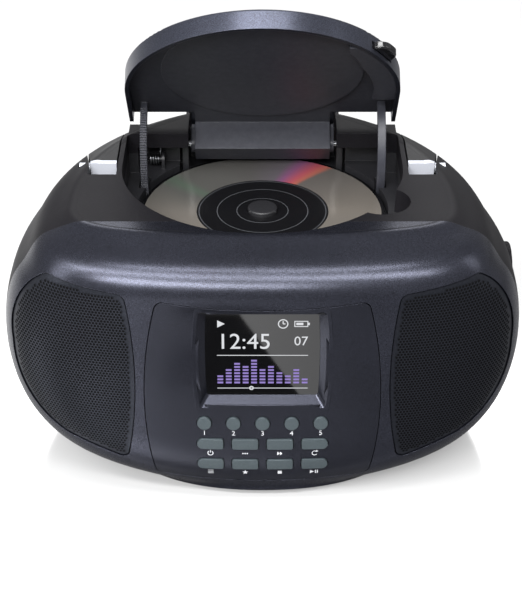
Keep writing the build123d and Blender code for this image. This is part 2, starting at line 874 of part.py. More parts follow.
channel = handle_space(0, recess_form)
channel_wall = handle_space(2.0, recess_back_form)
handle_side_x = handle_inner_x + handle_nose_width + handle_flare * (handle_pivot_y - handle_nose_y) / (
    handle_flare_y - handle_nose_y
)
with BuildPart() as rear_inside:
    add(channel_wall)
    for side in (-1, 1):
        start = (side * (handle_side_x + handle_gap), handle_pivot_y, handle_pivot_z)
        end = (side * (handle_side_x + handle_gap + 6.5), handle_pivot_y, handle_pivot_z)
        add(rod(start, end, 5.0))
    with BuildSketch(Plane.XZ.offset(-34)):
        add(bay_shell_shape.sketch)
    extrude(amount=-far)
    add(block((-60, aerial_y - 6.5, aerial_z - 6.5), (62, far, aerial_z + 6.5)))
    add(dip(2.0))
    add(skin_form, mode=Mode.INTERSECT)
    add(column(well_plan(0), 0, rim_high_z), mode=Mode.SUBTRACT)

with BuildPart() as rear_shell:
    add(outer_form)
    add(inner_form, mode=Mode.SUBTRACT)
    add(rear_inside.part)
    add(rim_wall.part)
    add(lip.part)
    add(ahead_of_seam, mode=Mode.SUBTRACT)
    add(channel, mode=Mode.SUBTRACT)
    for side in (-1, 1):
        start = (side * (handle_side_x - 1), handle_pivot_y, handle_pivot_z)
        end = (side * (handle_side_x + handle_gap + handle_pin_reach), handle_pivot_y, handle_pivot_z)
        add(rod(start, end, handle_pin_radius + shaft_clearance), mode=Mode.SUBTRACT)
    with BuildSketch(Plane.XZ.offset(-36)):
        add(bay_shape.sketch)
    extrude(amount=-far, mode=Mode.SUBTRACT)
    with BuildSketch(Plane.XZ.offset(-60)):
        add(door_hole.sketch)
    extrude(amount=-far, mode=Mode.SUBTRACT)
    add(block((-58, aerial_y - 4.5, aerial_z - 4.5), (60, far, aerial_z + 4.5)), mode=Mode.SUBTRACT)
    add(dip(0), mode=Mode.SUBTRACT)
    add(column(well_plan(well_wall), well_floor_z - floor_thickness, rim_low_z), mode=Mode.SUBTRACT)
    add(column(cover_plan(), ledge_z, far), mode=Mode.SUBTRACT)
    volume_start = (volume_inside_x, volume_y, volume_z)
    add(rod(volume_start, (far, volume_y, volume_z), volume_radius + volume_gap), mode=Mode.SUBTRACT)
    for height in jack_z:
        add(rod((jack_x, 40, height), (jack_x, far, height), jack_radius), mode=Mode.SUBTRACT)
    for spot_x, spot_y in screw_spots[:2]:
        for side in (-1, 1):
            add(screw_pillar(side * spot_x, spot_y))
            add(screw_bore(side * spot_x, spot_y), mode=Mode.SUBTRACT)
    with BuildSketch(Plane.XZ.offset(-30)):
        with Locations((inlet_x, inlet_z)):
            SlotOverall(22, 14)
    extrude(amount=-far, mode=Mode.SUBTRACT)
save(rear_shell, "rear_shell")

# Handle with its metal end blocks and pivots
nose_block = 3.0


def end_zone(first, last):
    """The stretch of both arms between two depths."""
    return block((-far, first, 0), (far, last, far))


with BuildPart() as handle_solid:
    add(column(handle_plan(0), handle_low_z, top_z + 5))
    add(outer_form, mode=Mode.INTERSECT)
    add(rest_form, mode=Mode.SUBTRACT)
    for side in (-1, 1):
        start = (side * (handle_side_x - 8), handle_pivot_y, handle_pivot_z)
        end = (side * (handle_side_x + 8), handle_pivot_y, handle_pivot_z)
        add(rod(start, end, handle_pin_radius), mode=Mode.SUBTRACT)

with BuildPart() as handle:
    add(handle_solid.part)
    add(end_zone(-far, handle_nose_y + nose_block), mode=Mode.SUBTRACT)
save(handle, "handle")

with BuildPart() as handle_ends:
    add(handle_solid.part)
    add(end_zone(handle_nose_y + nose_block, far), mode=Mode.SUBTRACT)
    for side in (-1, 1):
        start = (side * (handle_side_x - 8), handle_pivot_y, handle_pivot_z)
        end = (side * (handle_side_x + handle_gap + handle_pin_reach - 0.5), handle_pivot_y, handle_pivot_z)
        add(rod(start, end, handle_pin_radius))
save(handle_ends, "handle_ends")

# Grilles
for side, label in ((-1, "left_grille"), (1, "right_grille")):
    with BuildPart() as grille:
        with BuildSketch(Plane.XZ.offset(-seam_y - 1)):
            add(grille_plan(grille_gap))
            if side < 0:
                mirror(about=Plane.YZ, mode=Mode.REPLACE)
        extrude(amount=far)
        add(grille_form, mode=Mode.INTERSECT)
        add(grille_back_form, mode=Mode.SUBTRACT)
    save(grille, label)

# Control panel with the display's sunk bezel
display_tilt = atan2(
    front_reach(display_middle - display_half_height) - front_reach(display_middle + display_half_height),
    2 * display_half_height,
)
display_plane = Plane(
    origin=(0, -front_reach(display_middle), display_middle),
    x_dir=(1, 0, 0),
    z_dir=(0, -cos(display_tilt), sin(display_tilt)),
)
bezel_wall = 1.6


def bezel_form(grow, start):
    """The funnel from the panel's face down to the display's window."""
    with BuildPart() as funnel:
        with BuildSketch(display_plane.offset(start)):
            add(display_outline(display_half_width + grow, display_half_height + grow, display_bulge, 0))
        with BuildSketch(display_plane.offset(-display_depth)):
            add(display_outline(window_half_width + grow, window_half_height + grow, 0.6, window_rise))
        loft(ruled=True)
    return funnel.part


def display_slab(grow, near, thickness):
    """A flat layer behind the window."""
    with BuildPart() as slab:
        with BuildSketch(display_plane.offset(-near)):
            add(display_outline(window_half_width + grow, window_half_height + grow, 0.6, window_rise))
        extrude(amount=-thickness)
    return slab.part


key_spots = []
for row_z in key_rows_z:
    for column_index in range(key_columns):
        offset_x = (column_index - (key_columns - 1) / 2) * key_pitch
        outer_side = -1 if column_index == 0 else 1 if column_index == key_columns - 1 else 0
        key_spots.append((offset_x, row_z, outer_side))
preset_spots = [((index - (preset_count - 1) / 2) * preset_pitch, preset_z) for index in range(preset_count)]

with BuildPart() as control_panel:
    add(forward(panel_plan(0), seam_y - 20, -far))
    add(outer_form, mode=Mode.INTERSECT)
    add(inner_form, mode=Mode.SUBTRACT)
    add(bezel_form(bezel_wall, -0.6))
    add(bezel_form(0, 1.5), mode=Mode.SUBTRACT)
    add(bezel_form(0, -0.6), mode=Mode.SUBTRACT)
    for spot_x, spot_z, outer_side in key_spots:
        add(forward(key_outline(spot_x, spot_z, outer_side, key_gap), -80, -far), mode=Mode.SUBTRACT)
    for spot_x, spot_z in preset_spots:
        add(rod((spot_x, -80, spot_z), (spot_x, -far, spot_z), preset_radius + key_gap), mode=Mode.SUBTRACT)
save(control_panel, "control_panel")

with BuildPart() as display_lens:
    add(display_slab(bezel_wall, display_depth, lens_thickness))
save(display_lens, "display_lens")

with BuildPart() as display_module:
    add(display_slab(bezel_wall, display_depth + lens_thickness, screen_thickness))
    add(display_slab(0.4, display_depth + lens_thickness + screen_thickness, 1.2))
save(display_module, "display_module")

# Keys: cap, flange behind the panel and a stem down to its switch
board_y = -88.0
switch_height = 2.2
switch_half = 2.4
flange_back_y = -96.2
stem_end_y = board_y - switch_height - key_travel - 0.4


def key_piece(cap, flange, spot_x, spot_z):
    """A key with its flange held behind the panel."""
    with BuildPart() as key:
        add(forward(cap, flange_back_y, -far))
        add(proud_form, mode=Mode.INTERSECT)
    with BuildPart() as held:
        add(forward(flange, flange_back_y, -far))
        add(flange_form, mode=Mode.INTERSECT)
    with BuildPart() as whole:
        add(key.part)
        add(held.part)
        add(rod((spot_x, flange_back_y - 0.2, spot_z), (spot_x, stem_end_y, spot_z), 1.5))
    return whole


for index, (spot_x, spot_z) in enumerate(preset_spots):
    with BuildSketch() as cap:
        with Locations((spot_x, spot_z)):
            Circle(preset_radius)
    with BuildSketch() as flange:
        with Locations((spot_x, spot_z)):
            Circle(preset_radius + key_flange)
    save(key_piece(cap.sketch, flange.sketch, spot_x, spot_z), f"preset_button_{index + 1}")

for index, (spot_x, spot_z, outer_side) in enumerate(key_spots):
    cap_shape = key_outline(spot_x, spot_z, outer_side, 0)
    flange_shape = key_outline(spot_x, spot_z, outer_side, key_flange)
    save(key_piece(cap_shape, flange_shape, spot_x, spot_z), f"function_button_{index + 1}")

with BuildPart() as button_board:
    add(block((-41, board_y, 14), (41, board_y + board_thickness, 48)))
    for spot_x, spot_z in preset_spots + [spot[:2] for spot in key_spots]:
        low = (spot_x - switch_half, board_y - switch_height, spot_z - switch_half)
        add(block(low, (spot_x + switch_half, board_y, spot_z + switch_half)))
save(button_board, "button_board")

# Speakers
frame_rim = 2.0
spoke_count = 6
basket_turn = Plane(origin=speaker_plane.origin, x_dir=speaker_plane.x_dir, z_dir=-speaker_plane.y_dir)

with BuildPart() as right_frame:
    with BuildSketch(basket_turn):
        with BuildLine():
            Polyline(
                (speaker_radius - 3.0, 0),
                (speaker_radius, 0),
                (speaker_radius, -frame_rim - 1.0),
                (speaker_radius - 3.5, -frame_rim - 1.0),
                (magnet_radius - 1.0, -speaker_depth + magnet_height),
                (magnet_radius, -speaker_depth + magnet_height),
                (magnet_radius, -speaker_depth),
                (0, -speaker_depth),
                (0, -speaker_depth + magnet_height + 1.6),
                (magnet_radius - 3.0, -speaker_depth + magnet_height + 1.6),
                (speaker_radius - 5.5, -frame_rim),
                (speaker_radius - 3.0, -frame_rim),
                (speaker_radius - 3.0, 0),
            )
        make_face()
    revolve(axis=Axis(speaker_plane.origin, speaker_plane.z_dir))
    with BuildSketch(speaker_plane.offset(-frame_rim - 1.5)):
        with PolarLocations(speaker_radius - 10.0, spoke_count):
            SlotOverall(13, 6.5, rotation=90)
    extrude(amount=-9.0, mode=Mode.SUBTRACT)
    with BuildSketch(speaker_plane.offset(-frame_rim - 1.0)):
        with PolarLocations(speaker_radius - 1.5, 4, start_angle=45):
            Circle(0.8)
    extrude(amount=frame_rim + 1.0, mode=Mode.SUBTRACT)

with BuildPart() as right_cone:
    with BuildSketch(basket_turn):
        with BuildLine():
            Polyline((0, -5.6), (3.4, -6.1), (6.4, -7.5), (9.0, -10.0))
            Line((9.0, -10.0), (24.0, -1.4))
            ThreePointArc((24.0, -1.4), (26.9, 1.5), (29.8, -1.2))
            Line((29.8, -1.2), (30.8, -1.2))
            Line((30.8, -1.2), (30.8, -frame_rim))
            Line((30.8, -frame_rim), (29.4, -frame_rim))
            ThreePointArc((29.4, -frame_rim), (26.9, 0.6), (24.4, -2.4))
            Line((24.4, -2.4), (9.0, -11.2))
            Line((9.0, -11.2), (8.2, -10.6))
            Polyline((8.2, -10.6), (5.9, -8.4), (3.1, -7.1), (0, -6.6))
            Line((0, -6.6), (0, -5.6))
        make_face()
    revolve(axis=Axis(speaker_plane.origin, speaker_plane.z_dir))

for source, name in ((right_frame, "speaker_frame"), (right_cone, "speaker_cone")):
    save(source, f"right_{name}")
    with BuildPart() as mirrored:
        add(source.part)
        mirror(about=Plane.YZ, mode=Mode.REPLACE)
    save(mirrored, f"left_{name}")

# Lid's helper spring: one wire from the wall, round its boss and up behind the lid
quarter_turns = 4 * coil_turns


def coil_point(quarters):
    """Place and direction of the wire after a number of quarter turns."""
    turn = pi / 2 * quarters
    place = Vector(
        coil_start_x + coil_pitch * quarters / 4,
        coil_y + coil_radius * cos(turn),
        coil_z + coil_radius * sin(turn),
    )
    heading = Vector(coil_pitch / (2 * pi), -coil_radius * sin(turn), coil_radius * cos(turn))
    return place, heading.normalized()


def biarc(start, start_heading, end, end_heading):
    """Two arcs that leave one place and reach another along the given directions."""
    span = end - start
    total = start_heading + end_heading
    bend = 2 * (1 - start_heading.dot(end_heading))
    lead = (sqrt(span.dot(total) ** 2 + bend * span.dot(span)) - span.dot(total)) / bend
    middle = (start + end + (start_heading - end_heading) * lead) * 0.5
    middle_heading = (end - end_heading * lead) - (start + start_heading * lead)
    first = TangentArc(start, middle, tangent=start_heading)
    second = TangentArc(middle, end, tangent=middle_heading)
    return [first, second]


wall_anchor = Vector(-62.6, coil_y + coil_radius + 1.2, coil_z - 1.4)
wall_heading = Vector(1, 0, 0)
coil_begin, coil_begin_heading = coil_point(0)
coil_end, coil_end_heading = coil_point(quarter_turns)
hook_place = coil_end + Vector(0.1, 0.8, 3.2)
hook_heading = Vector(0, 0.5, 1).normalized()
with BuildPart() as lid_spring:
    with BuildLine():
        Line(wall_anchor, wall_anchor + wall_heading * 3.0)
        biarc(wall_anchor + wall_heading * 3.0, wall_heading, coil_begin, coil_begin_heading)
        for quarter in range(quarter_turns):
            biarc(*coil_point(quarter), *coil_point(quarter + 1))
        biarc(coil_end, coil_end_heading, hook_place, hook_heading)
        Line(hook_place, hook_place + hook_heading * 2.5)
    with BuildSketch(Plane(origin=wall_anchor, z_dir=wall_heading)):
        Circle(wire_radius)
    sweep()
save(lid_spring, "lid_spring")

spring_gaps = []
for first in range(0, 24 * coil_turns):
    for second in range(first + 12, 24 * coil_turns):
        apart = coil_point(second / 6)[0] - coil_point(first / 6)[0]
        spring_gaps.append(apart.length - 2 * wire_radius)
print(f"the spring clears itself by {min(spring_gaps):.2f} mm")

# Damper of the lid
mesh_distance = arc_radius + pinion_radius
damper_y = hinge_y - mesh_distance * cos(radians(damper_angle))
damper_z = hinge_z + mesh_distance * sin(radians(damper_angle))
drum_right_x = -49.0
drum_left_x = arc_x + arc_width / 2 + 0.4
with BuildPart() as damper_pinion:
    with BuildSketch(Plane.YZ.offset(arc_x - pinion_width / 2)):
        with Locations((damper_y, damper_z)):
            Circle(pinion_radius - 1.25 * tooth_module)
            with PolarLocations(0, pinion_teeth, start_angle=-damper_angle + 180 / pinion_teeth):
                add(tooth(pinion_radius, pinion_teeth))
    extrude(amount=pinion_width)
    add(rod((arc_x, damper_y, damper_z), (-51.0, damper_y, damper_z), shaft_radius))
save(damper_pinion, "damper_pinion")

with BuildPart() as damper_housing:
    add(rod((drum_left_x, damper_y, damper_z), (drum_right_x, damper_y, damper_z), 4.4))
    low = (drum_left_x, damper_y - 7.5, 91.6)
    add(block(low, (drum_right_x, damper_y + 7.5, well_floor_z - floor_thickness)))
    bore_start = (drum_left_x, damper_y, damper_z)
    bore_end = (drum_right_x - 1.5, damper_y, damper_z)
    add(rod(bore_start, bore_end, shaft_radius + shaft_clearance), mode=Mode.SUBTRACT)
save(damper_housing, "damper_housing")

# Disc drive under the well
floor_under_z = well_floor_z - floor_thickness
motor_radius = 11.0
motor_low_z = 79.0
sled_low_z = 82.0
sled_high_z = 89.0
sled_half_width = 22.0
motor_boss_radius = 3.5
with BuildPart() as mech_chassis:
    low = (-chassis_half_width, chassis_front, chassis_z)
    add(block(low, (chassis_half_width, chassis_rear, chassis_z + chassis_thickness)))
    with BuildSketch(Plane.XY.offset(chassis_z)):
        with Locations((0, (chassis_front + 4 - 14) / 2)):
            RectangleRounded(30, -14 - chassis_front - 4, 3)
        Circle(motor_boss_radius)
        for side in (-1, 1):
            with Locations((side * 29, 4)):
                RectangleRounded(8, 24, 3)
    extrude(amount=chassis_thickness, mode=Mode.SUBTRACT)
    for corner_x in (-33, 33):
        for corner_y in (-58, 18):
            top = (corner_x, corner_y, floor_under_z)
            add(rod((corner_x, corner_y, chassis_z + 0.5), top, 3.2))
    for side in (-1, 1):
        for end_y in (-64.0, -3.0):
            low = (side * rod_x - 2.6, end_y - 1.5, rod_z - 2.6)
            add(block(low, (side * rod_x + 2.6, end_y + 1.5, chassis_z)))
            start = (side * rod_x, end_y - 2, rod_z)
            add(rod(start, (side * rod_x, end_y + 2, rod_z), rod_radius), mode=Mode.SUBTRACT)
save(mech_chassis, "mech_chassis")

with BuildPart() as spindle_motor:
    add(rod((0, 0, motor_low_z), (0, 0, chassis_z), motor_radius))
    add(rod((0, 0, chassis_z), (0, 0, chassis_z + chassis_thickness + 1), motor_boss_radius))
    add(rod((0, 0, motor_low_z + 2), (0, 0, 100), shaft_radius + shaft_clearance), mode=Mode.SUBTRACT)
    add(rod((0, 0, motor_low_z - 1.5), (0, 0, motor_low_z), 3.0))
save(spindle_motor, "spindle_motor")

disc_low_z = disc_z - disc_thickness / 2
disc_high_z = disc_z + disc_thickness / 2
with BuildPart() as turntable_hub:
    add(rod((0, 0, disc_low_z - 1.8), (0, 0, disc_low_z), platter_radius))
    add(rod((0, 0, disc_low_z - 1), (0, 0, disc_high_z + 2.2), hub_radius))
    fillet(turntable_hub.edges().group_by(Axis.Z)[-1], radius=1.0)
    add(rod((0, 0, chassis_z + chassis_thickness + 1.4), (0, 0, disc_low_z), 3.0))
    add(rod((0, 0, motor_low_z + 2.5), (0, 0, disc_low_z), shaft_radius))
    with PolarLocations(hub_radius - 0.7, 3, start_angle=90):
        with Locations((0, 0, disc_high_z + 0.9)):
            Sphere(ball_radius)
save(turntable_hub, "turntable_hub")

with BuildPart() as compact_disc:
    add(rod((0, 0, disc_low_z), (0, 0, disc_high_z), disc_radius))
    add(rod((0, 0, disc_low_z), (0, 0, disc_high_z), disc_hole_radius), mode=Mode.SUBTRACT)
save(compact_disc, "compact_disc")

with BuildPart() as guide_rods:
    for side in (-1, 1):
        add(rod((side * rod_x, -65.5, rod_z), (side * rod_x, -1.5, rod_z), rod_radius))
save(guide_rods, "guide_rods")

sled_half_length = sled_length / 2
with BuildPart() as pickup_sled:
    low = (-sled_half_width, sled_y - sled_half_length, sled_low_z)
    add(block(low, (sled_half_width, sled_y + sled_half_length, sled_high_z)))
    add(block((-30, sled_y - 9, 80), (-8, sled_y - 3, 84)), mode=Mode.SUBTRACT)
    add(rod((0, sled_y, sled_high_z - 0.5), (0, sled_y, sled_high_z + 2.0), lens_radius + 1.4))
    for side in (-1, 1):
        start = (side * rod_x, sled_y - sled_half_length, rod_z)
        end = (side * rod_x, sled_y + sled_half_length, rod_z)
        add(rod(start, end, rod_radius + shaft_clearance), mode=Mode.SUBTRACT)
save(pickup_sled, "pickup_sled")

with BuildPart() as pickup_lens:
    add(rod((0, sled_y, sled_high_z + 2.0), (0, sled_y, sled_high_z + 3.0), lens_radius))
    add(rod((0, sled_y, sled_high_z + 3.0), (0, sled_y, sled_high_z + 3.6), lens_radius - 1.2))
save(pickup_lens, "pickup_lens")

# Boards and power
chips = ((-18, -40, 14, 2), (16, -46, 18, 2.4), (24, 4, 9, 12), (-28, 0, 8, 14))
with BuildPart() as main_board:
    add(block((-44, -78, 30), (44, 30, 31.6)))
    for chip_x, chip_y, chip_size, chip_high in chips:
        low = (chip_x - chip_size / 2, chip_y - chip_size / 2, 31.6)
        add(block(low, (chip_x + chip_size / 2, chip_y + chip_size / 2, 31.6 + chip_high)))
    for cap_x in (-8, 2, 12):
        add(rod((cap_x, 14, 31.6), (cap_x, 14, 44), 4.0))
save(main_board, "main_board")

with BuildPart() as power_board:
    add(block((-86, -26, 26), (-58, 16, 27.6)))
    add(block((-83, -18, 27.6), (-61, 4, 46)))
    add(block((-79, -20, 31), (-65, 6, 42)))
    for cap_x in (-78, -66):
        add(rod((cap_x, 10.5, 27.6), (cap_x, 10.5, 42), 4.0))
save(power_board, "power_board")

# Sockets, volume and battery parts
with BuildPart() as mains_inlet:
    with BuildSketch(Plane.XZ.offset(-36)):
        with Locations((inlet_x, inlet_z)):
            SlotOverall(25, 17)
    extrude(amount=-far)
    add(inner_form, mode=Mode.INTERSECT)
    with BuildSketch(Plane.XZ.offset(-38)):
        with Locations((inlet_x, inlet_z)):
            SlotOverall(21, 13)
    extrude(amount=-far, mode=Mode.SUBTRACT)
    for side in (-1, 1):
        add(rod((inlet_x + side * 4.5, 37, inlet_z), (inlet_x + side * 4.5, 45, inlet_z), 1.2))
save(mains_inlet, "mains_inlet")

with BuildPart() as audio_jacks:
    add(block((jack_x - 6, 33, min(jack_z) - 7), (jack_x + 6, 42, max(jack_z) + 7)))
    for height in jack_z:
        add(rod((jack_x, 40, height), (jack_x, 56, height), jack_radius - 0.1))
    for height in jack_z:
        add(rod((jack_x, 38, height), (jack_x, 60, height), jack_bore), mode=Mode.SUBTRACT)
save(audio_jacks, "audio_jacks")

volume_face_x = 119.1 + volume_proud
grip_count = 24
with BuildPart() as volume_knob:
    start = (volume_face_x - volume_width, volume_y, volume_z)
    add(rod(start, (volume_face_x, volume_y, volume_z), volume_radius))
    fillet(volume_knob.edges().group_by(Axis.X)[-1], radius=1.2)
    with BuildSketch(Plane.YZ.offset(volume_face_x - volume_width)):
        with Locations((volume_y, volume_z)):
            with PolarLocations(volume_radius + 0.4, grip_count):
                Circle(0.8)
    extrude(amount=volume_width, mode=Mode.SUBTRACT)
    add(rod((98, volume_y, volume_z), (volume_face_x - 1, volume_y, volume_z), 3.0))
save(volume_knob, "volume_knob")

with BuildPart() as volume_control:
    add(block((92, volume_y - 9, volume_z - 9), (102, volume_y + 9, volume_z + 9)))
    add(rod((97, volume_y, volume_z), (108, volume_y, volume_z), 4.5))
    add(rod((97, volume_y, volume_z), (108, volume_y, volume_z), 3.0 + shaft_clearance), mode=Mode.SUBTRACT)
    add(block((90.4, volume_y - 14, volume_z - 40), (92, volume_y + 14, volume_z + 12)))
save(volume_control, "volume_control")

with BuildPart() as battery_door:
    with BuildSketch(Plane.XZ.offset(-60)):
        add(door_shape.sketch)
    extrude(amount=-far)
    add(outer_form, mode=Mode.INTERSECT)
    add(inner_form, mode=Mode.SUBTRACT)
    with BuildSketch(Plane.XZ.offset(-60)):
        for rib in range(3):
            with Locations((0, door_high - 9 - 3.2 * rib)):
                SlotOverall(26 - 5 * rib, 1.4)
    extrude(amount=-far, mode=Mode.SUBTRACT)
    with BuildSketch(Plane.XZ.offset(-60)):
        with Locations((0, door_high - 12)):
            Rectangle(34, 16)
    extrude(amount=-far, mode=Mode.ADD)
    add(outer_form, mode=Mode.INTERSECT)
save(battery_door, "battery_door")

with BuildPart() as battery_contacts:
    for side in (-1, 1):
        for level in (29.5, 56.5):
            edge = side * (door_half_width - 2)
            near, away = sorted((edge, edge - side * 0.6))
            add(block((near, 44, level - 6), (away, 56, level + 6)))
            add(rod((edge - side * 0.5, 50, level), (edge - side * 2.0, 50, level), 3.0))
save(battery_contacts, "battery_contacts")

# Catch of the lid, in the well's wall under the release tab
with BuildPart() as latch_catch:
    with BuildSketch(Plane.XY.offset(ledge_z)):
        Circle(well_radius + 1)
        Circle(well_radius - 1.6, mode=Mode.SUBTRACT)
        Circle(well_radius, mode=Mode.INTERSECT)
        with Locations(Rotation(0, 0, latch_turn)):
            with Locations((well_radius, 0)):
                Rectangle(12, 9, mode=Mode.INTERSECT)
    extrude(amount=dip_low_z - 1.0 - ledge_z)
save(latch_catch, "latch_catch")

# Feet and screws
with BuildPart() as feet:
    for spot_x, spot_y in foot_spots:
        for side in (-1, 1):
            add(rod((side * spot_x, spot_y, 0), (side * spot_x, spot_y, base_z), foot_radius))
    fillet(feet.edges().group_by(Axis.Z)[0], radius=0.8)
save(feet, "feet")

with BuildPart() as housing_screws:
    for spot_x, spot_y in screw_spots:
        for side in (-1, 1):
            add(rod((side * spot_x, spot_y, 6.0), (side * spot_x, spot_y, 8.0), screw_head_radius))
            add(rod((side * spot_x, spot_y, 7.0), (side * spot_x, spot_y, screw_top_z), screw_radius))
save(housing_screws, "housing_screws")

# Telescopic aerial folded into its channel
aerial_post_radius = 1.2
knuckle_radius = 3.4
outer_tube = 2.4
mast_tube = 1.75
tip_rod = 1.15
with BuildPart() as aerial_bracket:
    pivot = (aerial_pivot_x, aerial_y)
    add(rod((*pivot, aerial_z - 4.5), (*pivot, aerial_z + 4.5), aerial_post_radius))
    add(rod((*pivot, aerial_z - 4.5), (*pivot, aerial_z - 3.7), knuckle_radius))
    add(rod((*pivot, aerial_z + 3.7), (*pivot, aerial_z + 4.5), knuckle_radius))
save(aerial_bracket, "aerial_bracket")

with BuildPart() as aerial_base:
    add(rod((*pivot, aerial_z - 3.3), (*pivot, aerial_z + 3.3), knuckle_radius))
    add(rod((aerial_pivot_x - 1, aerial_y, aerial_z), (-46, aerial_y, aerial_z), outer_tube))
    bore_start = (aerial_pivot_x - 4, aerial_y, aerial_z)
    add(rod(bore_start, (-50, aerial_y, aerial_z), mast_tube + shaft_clearance), mode=Mode.SUBTRACT)
    post_bore = aerial_post_radius + shaft_clearance
    add(rod((*pivot, aerial_z - 4), (*pivot, aerial_z + 4), post_bore), mode=Mode.SUBTRACT)
save(aerial_base, "aerial_base")

with BuildPart() as aerial_mast:
    add(rod((48, aerial_y, aerial_z), (-48, aerial_y, aerial_z), mast_tube))
    bore_start = (46, aerial_y, aerial_z)
    add(rod(bore_start, (-50, aerial_y, aerial_z), tip_rod + shaft_clearance), mode=Mode.SUBTRACT)
save(aerial_mast, "aerial_mast")

with BuildPart() as aerial_tip:
    add(rod((44, aerial_y, aerial_z), (-50, aerial_y, aerial_z), tip_rod))
    add(rod((-48.5, aerial_y, aerial_z), (-54, aerial_y, aerial_z), outer_tube))
    fillet(aerial_tip.edges().group_by(Axis.X)[0], radius=0.8)
save(aerial_tip, "aerial_tip")
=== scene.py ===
from math import ceil, cos, pi, radians, sin, sqrt

import bmesh
import bpy
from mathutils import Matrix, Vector
from mathutils.bvhtree import BVHTree


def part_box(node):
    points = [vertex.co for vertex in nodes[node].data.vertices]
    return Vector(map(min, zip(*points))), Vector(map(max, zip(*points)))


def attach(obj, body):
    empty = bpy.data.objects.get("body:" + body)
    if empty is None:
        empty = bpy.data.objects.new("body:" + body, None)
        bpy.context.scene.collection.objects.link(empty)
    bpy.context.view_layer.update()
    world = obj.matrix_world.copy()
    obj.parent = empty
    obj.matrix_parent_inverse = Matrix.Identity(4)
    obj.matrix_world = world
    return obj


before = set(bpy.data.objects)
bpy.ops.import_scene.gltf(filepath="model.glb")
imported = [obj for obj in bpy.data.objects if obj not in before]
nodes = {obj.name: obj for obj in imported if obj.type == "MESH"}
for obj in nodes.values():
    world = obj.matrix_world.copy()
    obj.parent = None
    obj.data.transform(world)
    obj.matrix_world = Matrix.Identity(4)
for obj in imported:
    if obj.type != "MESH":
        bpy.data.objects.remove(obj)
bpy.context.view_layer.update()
mm = 0.001
print("frame loaded:", len(nodes), "nodes")


def tone(red, green, blue):
    # an everyday 0-255 colour as the linear values that sockets take
    parts = [part / 255 for part in (red, green, blue)]
    return [part / 12.92 if part <= 0.04045 else ((part + 0.055) / 1.055) ** 2.4 for part in parts] + [1.0]


# Node trees

class Field:
    # one socket of a tree, so that node maths reads as sums
    def __init__(self, graph, socket):
        self.graph = graph
        self.socket = socket

    def sum(self, operation, first, second=None, clamp=False):
        values = {0: first} if second is None else {0: first, 1: second}
        return self.graph.add("ShaderNodeMath", {"operation": operation, "use_clamp": clamp}, values)

    def __add__(self, other):
        return self.sum("ADD", self, other)

    def __radd__(self, other):
        return self.sum("ADD", other, self)

    def __sub__(self, other):
        return self.sum("SUBTRACT", self, other)

    def __rsub__(self, other):
        return self.sum("SUBTRACT", other, self)

    def __mul__(self, other):
        return self.sum("MULTIPLY", self, other)

    def __rmul__(self, other):
        return self.sum("MULTIPLY", other, self)

    def __truediv__(self, other):
        return self.sum("DIVIDE", self, other)

    def above(self, other):
        return self.sum("GREATER_THAN", self, other)

    def below(self, other):
        return self.sum("LESS_THAN", self, other)

    def clamped(self):
        return self.sum("ADD", self, 0.0, clamp=True)

    def root(self):
        return self.sum("SQRT", self)

    def band(self, low, high, soft):
        # 1 between low and high, fading over soft at each end
        rise = ((self - low) / soft + 0.5).clamped()
        fall = ((high - self) / soft + 0.5).clamped()
        return rise * fall


class Graph:
    def __init__(self, tree):
        self.tree = tree

    def add(self, kind, settings=None, values=None, out=0):
        node = self.tree.nodes.new(kind)
        for name, setting in (settings or {}).items():
            if name == "stops":
                self.setStops(node.color_ramp, setting)
            else:
                setattr(node, name, setting)
        for key, value in (values or {}).items():
            if isinstance(value, Field):
                self.tree.links.new(value.socket, node.inputs[key])
            else:
                node.inputs[key].default_value = value
        self.last = node
        return Field(self, node.outputs[out]) if len(node.outputs) else None

    def setStops(self, ramp, stops):
        while len(ramp.elements) < len(stops):
            ramp.elements.new(0.5)
        for element, (position, colour) in zip(ramp.elements, stops):
            element.position = position
            element.color = colour

    def other(self, out):
        return Field(self, self.last.outputs[out])

    def place(self):
        return self.add("ShaderNodeTexCoord", out="Object")

    def parts(self, vector):
        x = self.add("ShaderNodeSeparateXYZ", values={0: vector})
        return x, self.other(1), self.other(2)

    def noise(self, place, scale, detail=2.0, rough=0.5):
        return self.add("ShaderNodeTexNoise", None,
                        {"Vector": place, "Scale": scale, "Detail": detail, "Roughness": rough})

    def mix(self, factor, first, second):
        return self.add("ShaderNodeMix", {"data_type": "RGBA"}, {0: factor, 6: first, 7: second}, out=2)

    def bump(self, height, distance, strength=1.0, normal=None):
        values = {"Height": height, "Distance": distance, "Strength": strength}
        if normal is not None:
            values["Normal"] = normal
        return self.add("ShaderNodeBump", None, values)

    def rounded(self, radius):
        return self.add("ShaderNodeBevel", {"samples": 4}, {"Radius": radius})


def startMaterial(name):
    material = bpy.data.materials.new(name)
    material.use_nodes = True
    material.node_tree.nodes.clear()
    return material, Graph(material.node_tree)


def endMaterial(graph, shader):
    graph.add("ShaderNodeOutputMaterial", None, {"Surface": shader})


